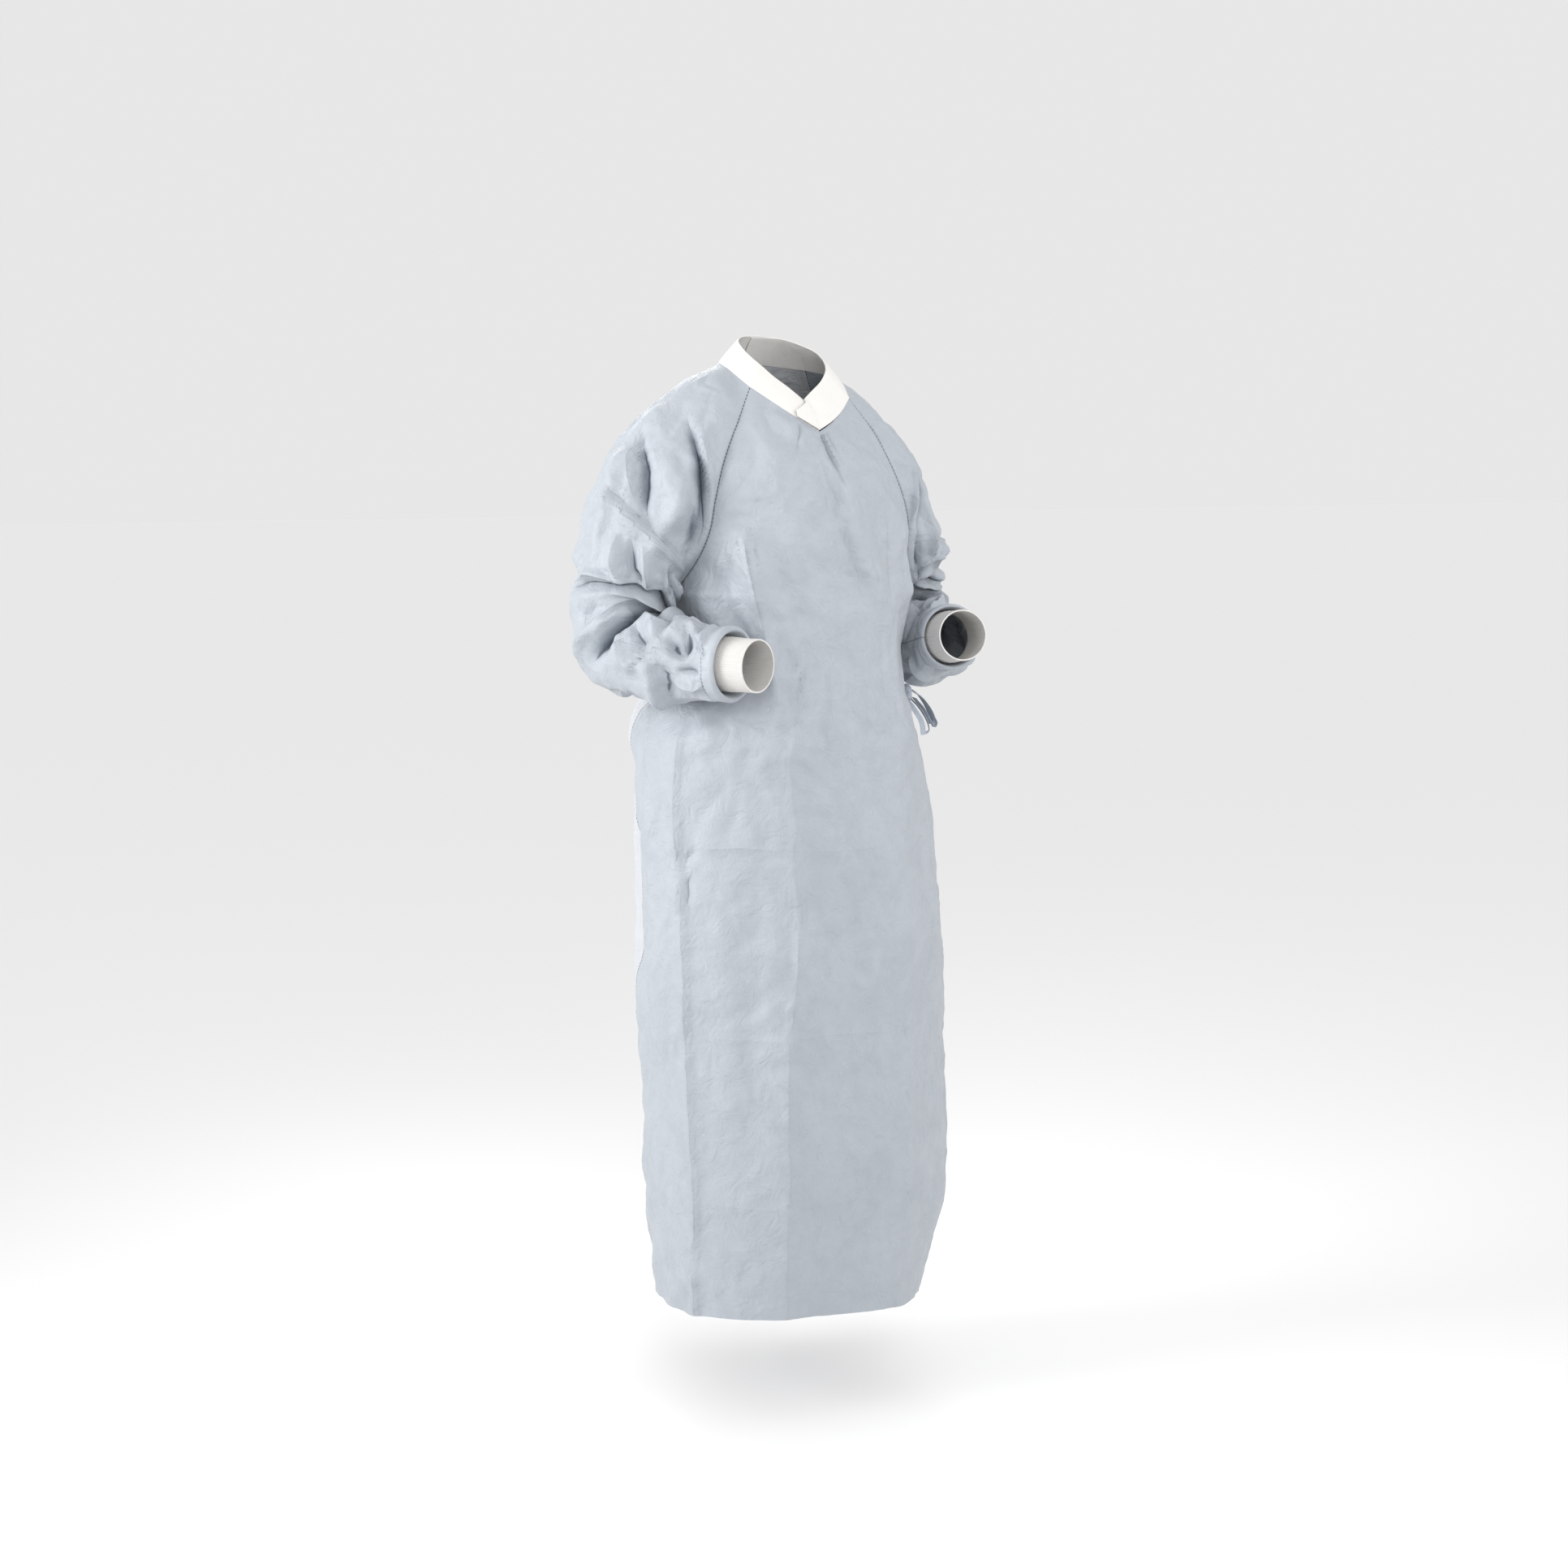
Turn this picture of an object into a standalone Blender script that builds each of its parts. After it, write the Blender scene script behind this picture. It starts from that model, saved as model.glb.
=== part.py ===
"""A worn surgical gown, full length, with its hollow form and bent sleeves.

The origin is where the wearer's shoulders carry the gown: midway between them, level with
the side of the neck. Z is up, the front faces -Y and the wearer's left hand is at +X.
Every length is in metres and every angle in degrees. `drop` is a distance below the
shoulder line, `out` one away from the middle of the body, and `ahead` one to the front.
"""

import math

import bmesh
import bpy
import numpy as np

# Driving dimensions.
CLOTH = 0.0016  # wall of the gown's cloth
BAND_CLOTH = 0.0020  # wall of the folded neck band
KNIT = 0.0022  # wall of the ribbed cuffs
SEAM_GAP = 0.0003  # between two pieces that are sewn together
LAYER = 0.0032  # between the two back panels where they lap
UNDERARM = 0.0022  # from a sleeve's lowest corner out to the body's
NECK_LAP = 7.5  # columns of the right band that the left one's end lies over
BAND_LIFT = 0.0042  # of the left band's end over the right one
BAND_ROLL = 0.0010  # of a band's middle over its two edges

FRONT_COLUMNS = 36
BACK_COLUMNS = 12
RAGLAN_ROWS = 12  # rows of the body and of a sleeve down one raglan seam
SKIRT_ROWS = 18
SLEEVE_COLUMNS = 24
SLEEVE_STEPS = 2  # rows between two rings of a sleeve's table
CAP_PLACES = 8  # a sleeve above the armhole is as long as this many of its rings' spaces
BAND_ROWS = 2
BAND_LAP_AT = (6, 4, 2)  # columns of the right band that the left one's end follows
LEFT_SHOULDER_FALL = 0.27  # slope by which the wearer's left shoulder hangs lower
NECK_SWAY = 0.008  # how far the neck stands towards the wearer's right
HEM_DIP = 0.015  # how much lower the hem hangs at its lowest places
HEM_TURN = 27.0  # angle from there to the front

# The body below the armholes: half widths to the front, left, back and right.
BODY_COLUMNS = ("drop", "front", "left", "back", "right", "square")
BODY = (
    (0.295, 0.156, 0.176, 0.150, 0.176, 2.2),
    (0.330, 0.159, 0.159, 0.150, 0.161, 2.3),
    (0.360, 0.161, 0.152, 0.150, 0.158, 2.3),
    (0.395, 0.163, 0.150, 0.148, 0.158, 2.3),
    (0.437, 0.165, 0.152, 0.150, 0.180, 2.4),
    (0.475, 0.168, 0.164, 0.158, 0.206, 2.4),
    (0.552, 0.172, 0.188, 0.172, 0.216, 2.3),
    (0.725, 0.178, 0.210, 0.180, 0.216, 2.3),
    (0.862, 0.184, 0.219, 0.184, 0.217, 2.3),
    (1.000, 0.187, 0.223, 0.180, 0.209, 2.3),
    (1.138, 0.184, 0.225, 0.174, 0.204, 2.3),
    (1.293, 0.170, 0.184, 0.164, 0.186, 2.5),
)

# The raglan seams (out, ahead, drop), from the neck to the armhole's lowest point.
RAGLAN_FRONT = (
    (0.076, 0.052, 0.016),
    (0.107, 0.064, 0.062),
    (0.134, 0.074, 0.118),
    (0.148, 0.077, 0.168),
    (0.153, 0.071, 0.208),
    (0.160, 0.054, 0.242),
    (0.168, 0.029, 0.270),
    (0.176, 0.000, 0.295),
)
RAGLAN_BACK = (
    (0.066, -0.058, -0.022),
    (0.100, -0.090, 0.024),
    (0.131, -0.114, 0.090),
    (0.149, -0.117, 0.150),
    (0.160, -0.104, 0.205),
    (0.169, -0.064, 0.245),
    (0.173, -0.031, 0.274),
    (0.176, 0.000, 0.295),
)

# The neck's seam (out, ahead, drop) over the shoulder, between the two raglan seams.
SHOULDER_NECK = ((0.0870, 0.012, -0.0080), (0.0845, -0.024, -0.0185))

# The middle of the front and of the back above the armholes. `share` runs down the raglan
# seam, `square` is the row's squareness, and `dip` bends a row from a V to a level line.
MIDDLE_COLUMNS = ("share", "drop", "depth", "square", "dip")
FRONT_MIDDLE = (
    (0.00, 0.076, 0.095, 1.45, 1.05),
    (0.25, 0.122, 0.124, 1.80, 1.30),
    (0.50, 0.178, 0.144, 2.05, 1.70),
    (0.75, 0.235, 0.153, 2.15, 2.00),
    (1.00, 0.295, 0.156, 2.20, 2.20),
)
BACK_MIDDLE = (
    (0.00, -0.020, 0.090, 2.0, 2.0),
    (0.25, 0.055, 0.128, 2.1, 2.0),
    (0.50, 0.132, 0.144, 2.2, 2.0),
    (0.75, 0.212, 0.151, 2.2, 2.0),
    (1.00, 0.295, 0.150, 2.2, 2.0),
)

# Where the front meets the back below the armholes, as an angle round from the front.
SIDE_COLUMNS = ("drop", "right", "left")
SIDE_SEAM = (
    (0.295, 90.0, 90.0),
    (0.400, 102.0, 104.0),
    (0.500, 110.0, 111.0),
    (0.600, 108.0, 111.0),
    (0.680, 99.0, 112.0),
    (0.735, 94.5, 112.0),
    (0.790, 99.0, 112.0),
    (0.870, 109.0, 112.0),
    (1.000, 112.0, 112.0),
    (1.293, 112.0, 112.0),
)

# How far the back panels run past the middle of the back.
LAP_COLUMNS = ("drop", "right", "left")
LAP = (
    (-0.022, 26.0, 14.0),
    (0.295, 27.0, 17.0),
    (0.440, 34.0, 18.0),
    (0.725, 30.0, 18.0),
    (1.293, 26.0, 18.0),
)

# The upper edge of the neck band, as an angle round from the front.
COLLAR_COLUMNS = ("angle", "radius", "drop")
COLLAR = (
    (0.0, 0.0600, 0.0345),
    (20.0, 0.0590, 0.0160),
    (40.0, 0.0590, 0.0000),
    (56.0, 0.0600, -0.0140),
    (80.0, 0.0605, -0.0310),
    (100.0, 0.0605, -0.0430),
    (127.0, 0.0610, -0.0520),
    (154.0, 0.0640, -0.0570),
    (180.0, 0.0670, -0.0565),
    (210.0, 0.0675, -0.0565),
)

# A sleeve above the armhole, as arcs from the front raglan seam over the arm to the back
# one. `share` runs down the seam and `half` is the arc's half angle. Out, ahead and drop
# place the arc's crown, and `fall` turns the way from its middle to the crown from up to
# out. `wide` is the ellipse's half size that way, and `deep` the one to the front.
CAP_COLUMNS = ("share", "out", "ahead", "drop", "fall", "wide", "deep", "half")
CAP_RIGHT = (
    (0.00, 0.0865, -0.004, -0.0135, 56.0, 0.019, 0.055, 90.0),
    (0.25, 0.1340, -0.013, 0.0050, 34.0, 0.056, 0.081, 92.0),
    (0.50, 0.2080, -0.022, 0.0590, 42.0, 0.082, 0.094, 100.0),
    (0.75, 0.2590, -0.030, 0.1330, 52.0, 0.089, 0.092, 118.0),
    (0.90, 0.2840, -0.034, 0.1950, 58.0, 0.077, 0.080, 148.0),
    (1.00, 0.2940, -0.037, 0.2360, 63.0, 0.065, 0.076, 180.0),
)
CAP_LEFT = (
    (0.00, 0.0865, -0.004, -0.0135, 56.0, 0.019, 0.055, 90.0),
    (0.25, 0.1290, -0.013, 0.0070, 34.0, 0.053, 0.079, 92.0),
    (0.50, 0.1960, -0.024, 0.0590, 38.0, 0.078, 0.090, 100.0),
    (0.75, 0.2330, -0.038, 0.1370, 48.0, 0.081, 0.086, 118.0),
    (0.90, 0.2450, -0.046, 0.1980, 55.0, 0.067, 0.075, 148.0),
    (1.00, 0.2500, -0.046, 0.2400, 60.0, 0.042, 0.070, 180.0),
)

# The sleeves' rings below the armhole. Out, ahead and drop place a ring's middle. `fall`
# and `turn` aim its outer side, and `swing` tips its front side up at the elbow's crook.
RING_COLUMNS = ("out", "ahead", "drop", "fall", "swing", "turn", "wide", "deep")
RINGS_RIGHT = (
    (0.2385, -0.036, 0.297, 64.0, 12.0, 0.0, 0.065, 0.075),
    (0.2430, -0.041, 0.328, 72.0, 24.0, 0.0, 0.066, 0.073),
    (0.2400, -0.018, 0.367, 86.0, 46.0, 4.0, 0.060, 0.072),
    (0.2310, 0.030, 0.381, 90.0, 74.0, 14.0, 0.057, 0.060),
    (0.2080, 0.088, 0.378, 90.0, 90.0, 24.0, 0.050, 0.053),
    (0.1840, 0.142, 0.380, 90.0, 90.0, 26.0, 0.047, 0.050),
    (0.1700, 0.172, 0.380, 90.0, 90.0, 26.0, 0.048, 0.051),
)
RINGS_LEFT = (
    (0.2185, -0.050, 0.297, 66.0, 12.0, 0.0, 0.0455, 0.069),
    (0.2160, -0.058, 0.327, 72.0, 24.0, 0.0, 0.054, 0.067),
    (0.2150, -0.040, 0.362, 88.0, 46.0, 0.0, 0.055, 0.066),
    (0.2120, -0.002, 0.373, 90.0, 74.0, 2.0, 0.052, 0.056),
    (0.2080, 0.046, 0.373, 90.0, 92.0, 5.0, 0.048, 0.050),
    (0.2020, 0.090, 0.365, 90.0, 97.0, 8.0, 0.045, 0.046),
    (0.1980, 0.116, 0.360, 90.0, 97.0, 8.0, 0.045, 0.046),
)
# The sleeve's end turns in over a lip and runs back to the knitted cuff.
LIP_COLUMNS = ("ahead", "inward")
LIP = ((0.004, 0.25), (0.001, 0.60), (-0.022, 1.00))
CUFF_SOCKET = 0.0378  # radius of the sleeve's cloth round the cuff
CUFF_COLUMNS = ("ahead", "radius")
CUFF = ((-0.0215, 0.0355), (0.000, 0.0355), (0.022, 0.0345), (0.044, 0.0345))

# Folds of the body: a line from (angle, drop) to (angle, drop), how wide the fold is on
# each side of it and how far it stands out. A crisp fold has a sharp crest.
FOLD_COLUMNS = ("angle_a", "drop_a", "angle_b", "drop_b", "wide", "depth", "crisp")
BODY_FOLDS = (
    (-61.0, 0.420, -57.0, 1.300, 0.055, 0.0090, 1),
    (-22.0, 0.430, -23.0, 1.320, 0.060, 0.0065, 1),
    (26.0, 0.470, 24.0, 1.300, 0.060, 0.0055, 1),
    (70.0, 0.450, 66.0, 1.320, 0.060, 0.0070, 1),
    (-41.0, 0.640, -40.0, 1.120, 0.040, -0.0050, 0),
    (2.0, 0.560, 1.0, 1.250, 0.050, -0.0045, 0),
    (48.0, 0.520, 46.0, 1.240, 0.045, -0.0045, 0),
    (-86.0, 0.470, -80.0, 0.980, 0.040, 0.0075, 0),
    (-104.0, 0.560, -100.0, 0.860, 0.030, -0.0070, 0),
    (-118.0, 0.360, -118.0, 0.540, 0.060, 0.0160, 0),
    (98.0, 0.460, 92.0, 1.050, 0.040, 0.0075, 0),
    (128.0, 0.430, 124.0, 1.200, 0.040, -0.0080, 0),
    (150.0, 0.400, 146.0, 1.240, 0.045, 0.0080, 0),
    (-128.0, 0.430, -122.0, 1.200, 0.040, -0.0080, 0),
    (-150.0, 0.400, -144.0, 1.240, 0.045, 0.0085, 0),
    (178.0, 0.380, 179.0, 1.250, 0.050, -0.0060, 0),
    (-178.0, 0.380, -179.0, 1.250, 0.050, -0.0060, 0),
    (2.0, 0.070, 9.0, 0.130, 0.008, -0.0075, 0),
    (8.0, 0.100, 25.0, 0.330, 0.024, 0.0070, 0),
    (-8.0, 0.110, 6.0, 0.300, 0.020, -0.0050, 0),
    (-14.0, 0.080, -24.0, 0.180, 0.014, -0.0045, 0),
    (42.0, 0.210, 48.0, 0.300, 0.014, -0.0050, 0),
    (-50.0, 0.190, -34.0, 0.330, 0.030, 0.0110, 0),
    (-66.0, 0.240, -42.0, 0.400, 0.026, -0.0090, 0),
    (-24.0, 0.330, -30.0, 0.420, 0.024, 0.0070, 0),
    (-3.0, 0.400, -6.0, 0.470, 0.010, 0.0055, 0),
    (6.0, 0.395, 4.0, 0.465, 0.009, -0.0050, 0),
    (14.0, 0.400, 16.0, 0.470, 0.011, 0.0050, 0),
)

# Folds of the sleeves, from (place, angle) to (place, angle). Place 0 is the neck, 1 the
# armhole's lowest point and each whole number past it one ring. Angle 0 is the outside of
# the arm, 90 the crook, 180 the inside and -90 the elbow.
SLEEVE_FOLD_COLUMNS = ("place_a", "angle_a", "place_b", "angle_b", "wide", "depth", "crisp")
RIGHT_FOLDS = (
    (0.30, 60.0, 1.40, 88.0, 0.016, 0.0100, 0),
    (0.45, 78.0, 1.50, 110.0, 0.014, -0.0100, 0),
    (0.55, 34.0, 1.90, 62.0, 0.017, -0.0110, 0),
    (0.60, 8.0, 2.20, 36.0, 0.018, 0.0090, 0),
    (1.90, 0.0, 2.60, 90.0, 0.018, 0.0100, 0),
    (3.20, 0.0, 3.00, 110.0, 0.014, -0.0110, 0),
    (2.80, -50.0, 3.40, 30.0, 0.020, -0.0110, 0),
    (4.00, -30.0, 4.20, 95.0, 0.016, 0.0080, 0),
    (4.80, 20.0, 5.00, 140.0, 0.012, -0.0070, 0),
    (5.60, -60.0, 5.40, 60.0, 0.014, 0.0070, 0),
    (6.40, 10.0, 6.20, 130.0, 0.010, -0.0060, 0),
    (1.00, -140.0, 2.20, -60.0, 0.022, -0.0100, 0),
    (0.50, -60.0, 1.80, -30.0, 0.022, -0.0080, 0),
    (4.60, -160.0, 5.00, -40.0, 0.016, -0.0070, 0),
)
LEFT_FOLDS = (
    (0.35, 55.0, 1.50, 86.0, 0.016, 0.0090, 0),
    (0.55, 28.0, 1.90, 52.0, 0.017, -0.0100, 0),
    (1.80, 0.0, 2.50, 90.0, 0.018, 0.0090, 0),
    (3.20, 0.0, 3.00, 100.0, 0.014, -0.0100, 0),
    (2.80, -60.0, 3.40, 10.0, 0.020, -0.0100, 0),
    (4.00, -30.0, 4.20, 95.0, 0.016, 0.0075, 0),
    (5.00, -10.0, 4.90, 110.0, 0.012, -0.0070, 0),
    (5.80, -60.0, 5.60, 60.0, 0.014, 0.0065, 0),
    (1.00, -130.0, 2.20, -60.0, 0.022, -0.0095, 0),
    (0.50, -60.0, 1.80, -30.0, 0.022, -0.0075, 0),
)

# The waist tie: its strap round the left side, and the bow that it ends in.
TIE_CLOTH = 0.0016
TIE_CLEAR = 0.0036  # from the body's cloth to the strap's middle
STRAP_COLUMNS = ("angle", "drop", "width")
STRAP = (
    (75.0, 0.4460, 0.012),
    (82.0, 0.4460, 0.020),
    (92.0, 0.4450, 0.027),
    (120.0, 0.4430, 0.028),
    (157.0, 0.4400, 0.028),
)
KNOT = (0.1644, 0.0482, 0.4440)  # out, ahead and drop of its middle
KNOT_SIZE = (0.0085, 0.0130, 0.0130)  # half sizes
# Each ribbon of the bow: a row of middles (out, ahead, drop), its width and which way the
# width runs.
RIBBONS = {
    "tie_loop_upper": (
        (
            (0.1734, 0.0496, 0.4400),
            (0.1836, 0.0508, 0.4460),
            (0.1965, 0.0510, 0.4600),
            (0.2060, 0.0500, 0.4760),
            (0.2100, 0.0490, 0.4870),
            (0.2075, 0.0485, 0.4910),
            (0.2030, 0.0485, 0.4860),
            (0.1960, 0.0490, 0.4760),
            (0.1870, 0.0495, 0.4620),
            (0.1768, 0.0490, 0.4505),
        ),
        0.016,
        (0.30, 0.75, 0.45),
    ),
    "tie_loop_lower": (
        (
            (0.1694, 0.0558, 0.4518),
            (0.1765, 0.0640, 0.4625),
            (0.1840, 0.0690, 0.4760),
            (0.1890, 0.0710, 0.4890),
            (0.1895, 0.0715, 0.4960),
            (0.1850, 0.0715, 0.4980),
            (0.1805, 0.0710, 0.4910),
            (0.1760, 0.0680, 0.4780),
            (0.1680, 0.0600, 0.4615),
        ),
        0.014,
        (0.45, -0.75, 0.30),
    ),
    "tie_tail_front": (
        (
            (0.1590, 0.0604, 0.4518),
            (0.1625, 0.0755, 0.4645),
            (0.1700, 0.0840, 0.4820),
            (0.1715, 0.0870, 0.5000),
        ),
        0.013,
        (0.85, -0.45, 0.00),
    ),
    "tie_tail_back": (
        (
            (0.1680, 0.0332, 0.4480),
            (0.1745, 0.0235, 0.4620),
            (0.1830, 0.0190, 0.4860),
            (0.1905, 0.0170, 0.5200),
            (0.1960, 0.0165, 0.5600),
        ),
        0.022,
        (-0.25, 1.00, 0.10),
    ),
}
RIBBON_STEPS = 2
COLOURS = {
    "gown": (0.49, 0.53, 0.58),
    "back": (0.60, 0.63, 0.66),
    "band": (0.82, 0.80, 0.78),
    "knit": (0.80, 0.79, 0.77),
}


def cubic(places, values, at):
    """Cubic through the rows, each slope the mean of the slopes beside it."""
    places = np.asarray(places, float)
    values = np.asarray(values, float)
    at = np.clip(np.asarray(at, float), places[0], places[-1])
    spans = np.diff(places)
    rises = np.diff(values, axis=0) / spans[:, None]
    slopes = np.vstack([rises[:1], 0.5 * (rises[1:] + rises[:-1]), rises[-1:]])
    row = np.clip(np.searchsorted(places, at, side="right") - 1, 0, len(spans) - 1)
    span = spans[row]
    s = ((at - places[row]) / span)[..., None]
    span = span[..., None]
    return (
        (1 + 2 * s) * (1 - s) ** 2 * values[row]
        + s * (1 - s) ** 2 * span * slopes[row]
        + s * s * (3 - 2 * s) * values[row + 1]
        + s * s * (s - 1) * span * slopes[row + 1]
    )


def columns(names, table, at):
    """The table's other columns, by name, at values of its first one."""
    table = np.array(table)
    found = cubic(table[:, 0], table[:, 1:], at)
    return {name: found[..., i] for i, name in enumerate(names[1:])}


def along(points, share):
    """Points of a smooth curve through these, at shares of its length."""
    points = np.array(points)
    run = np.concatenate([[0], np.cumsum(np.linalg.norm(np.diff(points, axis=0), axis=1))])
    return cubic(run / run[-1], points, share)


def ease(low, high, at):
    """0 below `low` and 1 above `high`, with a smooth climb between them."""
    s = np.clip((at - low) / (high - low), 0, 1)
    return s * s * (3 - 2 * s)


def unit(vectors):
    return vectors / np.maximum(np.linalg.norm(vectors, axis=-1, keepdims=True), 1e-12)


def stack(x, y, z):
    return np.stack(np.broadcast_arrays(x, y, z), axis=-1)


def fold_shape(off_line, wide, crisp):
    """The fold's cross-section: a soft bump, or one with a sharp crest."""
    reach = np.abs(off_line) / wide
    return np.exp(-2.2 * reach) if crisp else np.exp(-(reach**2) * 2.2)


def fold_window(share):
    """Fades a fold out at its two ends."""
    return ease(0, 0.22, share) * ease(0, 0.22, 1 - share)


def body_folds(angle, drop, radius):
    """How far the body's folds lift the cloth at an angle and a drop."""
    lift = np.zeros(np.shape(angle))
    for row in BODY_FOLDS:
        fold = dict(zip(FOLD_COLUMNS, row))
        share = (drop - fold["drop_a"]) / (fold["drop_b"] - fold["drop_a"])
        line = fold["angle_a"] + np.clip(share, 0, 1) * (fold["angle_b"] - fold["angle_a"])
        off = (np.degrees(angle) - line + 180) % 360 - 180
        shape = fold_shape(np.radians(off) * radius, fold["wide"], fold["crisp"])
        lift = lift + fold["depth"] * shape * fold_window(np.clip(share, 0, 1))
    return lift


def polar(angle, drop, radius):
    return stack(radius * np.sin(angle), -radius * np.cos(angle), -drop)


def squircle(angle, across, depth, square):
    """Radius at an angle of a rounded section with these half widths."""
    return (
        (np.abs(np.sin(angle)) / across) ** square + (np.abs(np.cos(angle)) / depth) ** square
    ) ** (-1 / square)


def skirt_points(angle, drop):
    """The body below the armholes."""
    size = columns(BODY_COLUMNS, BODY, drop)
    across = np.where(np.sin(angle) > 0, size["left"], size["right"])
    depth = np.where(np.cos(angle) > 0, size["front"], size["back"])
    radius = squircle(angle, across, depth, size["square"])
    return polar(angle, drop, radius + body_folds(angle, drop, radius))


def seam_angle(point):
    """The angle round from the front of a raglan seam's point."""
    return np.arctan2(point[..., 0], point[..., 1])


def chest_row(seam, middle_table, share, angle):
    """A row above the armholes, from a raglan seam's point round to the middle and past it.

    Its plan is a rounded section through both, and its height runs between theirs.
    """
    point = along(seam, share)
    middle = columns(MIDDLE_COLUMNS, middle_table, share)
    back = point[..., 1] < 0 if middle_table is BACK_MIDDLE else False
    lead = np.abs(point[..., 1])
    flat = (1 - (lead / middle["depth"]) ** middle["square"]) ** (1 / middle["square"])
    across = point[..., 0] / flat
    edge = seam_angle(point)
    if middle_table is BACK_MIDDLE:
        edge, swing = math.pi - edge, math.pi - np.abs(angle)
    else:
        swing = np.abs(angle)
    part = np.clip(np.abs(swing) / edge, 0, 1)
    drop = middle["drop"] + (point[..., 2] - middle["drop"]) * part ** middle["dip"]
    radius = squircle(angle, across, middle["depth"], middle["square"])
    at_seam = 1 - part**10
    return polar(angle, drop, radius + at_seam * body_folds(angle, drop, radius))


def sample_drops():
    """Drops of the rows below the armholes, closer together at the waist."""
    top, bottom = BODY[0][0], BODY[-1][0]
    share = np.linspace(0, 1, SKIRT_ROWS + 1)[1:]
    return top + (bottom - top) * (0.62 * share + 0.38 * share**2.2)


def front_panel():
    """Rows from the neckline to the hem, each from the wearer's right to the left."""
    rows = []
    spread = np.linspace(-1, 1, FRONT_COLUMNS + 1)
    for share in np.linspace(0, 1, RAGLAN_ROWS + 1):
        edge = seam_angle(along(RAGLAN_FRONT, share))
        rows.append(chest_row(RAGLAN_FRONT, FRONT_MIDDLE, share, spread * edge))
    for drop in sample_drops():
        side = columns(SIDE_COLUMNS, SIDE_SEAM, drop)
        edge = np.where(spread < 0, side["right"], side["left"])
        rows.append(skirt_points(np.radians(spread * edge), np.full(spread.shape, drop)))
    return np.array(rows)


def back_panel(side):
    """Rows from the neck to the hem, each from the side seam to the lap's edge.

    The right panel (side -1) laps over the left one (side 1).
    """
    name = "left" if side > 0 else "right"
    rows = []
    spread = np.linspace(0, 1, BACK_COLUMNS + 1)
    for share in np.linspace(0, 1, RAGLAN_ROWS + 1):
        point = along(RAGLAN_BACK, share)
        lap = columns(LAP_COLUMNS, LAP, point[2])[name]
        edge = seam_angle(point)
        angle = side * (edge + spread * (math.pi + math.radians(lap) - edge))
        angle = (angle + math.pi) % (2 * math.pi) - math.pi
        rows.append(chest_row(RAGLAN_BACK, BACK_MIDDLE, share, angle))
    for drop in sample_drops():
        lap = columns(LAP_COLUMNS, LAP, drop)[name]
        edge = math.radians(columns(SIDE_COLUMNS, SIDE_SEAM, drop)[name])
        angle = side * (edge + spread * (math.pi + math.radians(lap) - edge))
        rows.append(skirt_points(angle, np.full(spread.shape, drop)))
    points = np.array(rows)
    turned = np.degrees(np.arctan2(side * points[..., 0], -points[..., 1])) % 360
    return points - side * grid_normals(points) * lap_lift(side, turned)[..., None]


def lap_lift(side, turned):
    """How far the right panel stands out, and the left one in, where the two lap."""
    if side > 0:
        return -LAYER * ease(150, 172, turned)
    return LAYER * ease(158, 178, turned)


def ring_frame(ring):
    """The ring's middle, and its directions to the outside of the arm and to the crook."""
    fall, swing, turn = (math.radians(ring[k]) for k in ("fall", "swing", "turn"))
    outside = np.array([math.sin(fall), 0, math.cos(fall)])
    outside = np.array([outside[0] * math.cos(turn), outside[0] * math.sin(turn), outside[2]])
    ahead = np.array([-math.sin(turn), math.cos(turn), 0])
    crook = ahead * math.cos(swing) + np.array([0, 0, 1]) * math.sin(swing)
    middle = np.array([ring["out"], ring["ahead"], -ring["drop"]])
    return middle, outside, crook


def neck_edge(share):
    """The sleeve's neck edge, from its front raglan seam to its back one."""
    return along((RAGLAN_FRONT[0], *SHOULDER_NECK, RAGLAN_BACK[0]), share) * (1, 1, -1)


def cap(table, share, spread):
    """An arc over the arm between the two raglan seams; `spread` runs from -1 to 1."""
    size = columns(CAP_COLUMNS, table, share)
    fall = math.radians(size["fall"])
    outside = np.array([math.sin(fall), 0, math.cos(fall)])
    crown = np.array([size["out"], size["ahead"], -size["drop"]])
    angle = -spread * math.radians(size["half"])
    arc = crown + size["wide"] * (np.cos(angle) - 1)[:, None] * outside
    arc = arc + size["deep"] * np.sin(angle)[:, None] * np.array([0, 1, 0])
    near_neck = 1 - float(ease(0.0, 0.16, share))
    arc = arc + near_neck * (neck_edge((spread + 1) / 2) - arc)
    aside = UNDERARM * max(0, 1 - RAGLAN_ROWS * (1 - share))
    for end, seam in ((0, RAGLAN_FRONT), (-1, RAGLAN_BACK)):
        miss = along(seam, share) * (1, 1, -1) + (aside, 0, 0) - arc[end]
        pull = ease(0.1, 1.0, spread if end else -spread)[:, None]
        arc = arc + pull * miss
    return arc


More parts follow.
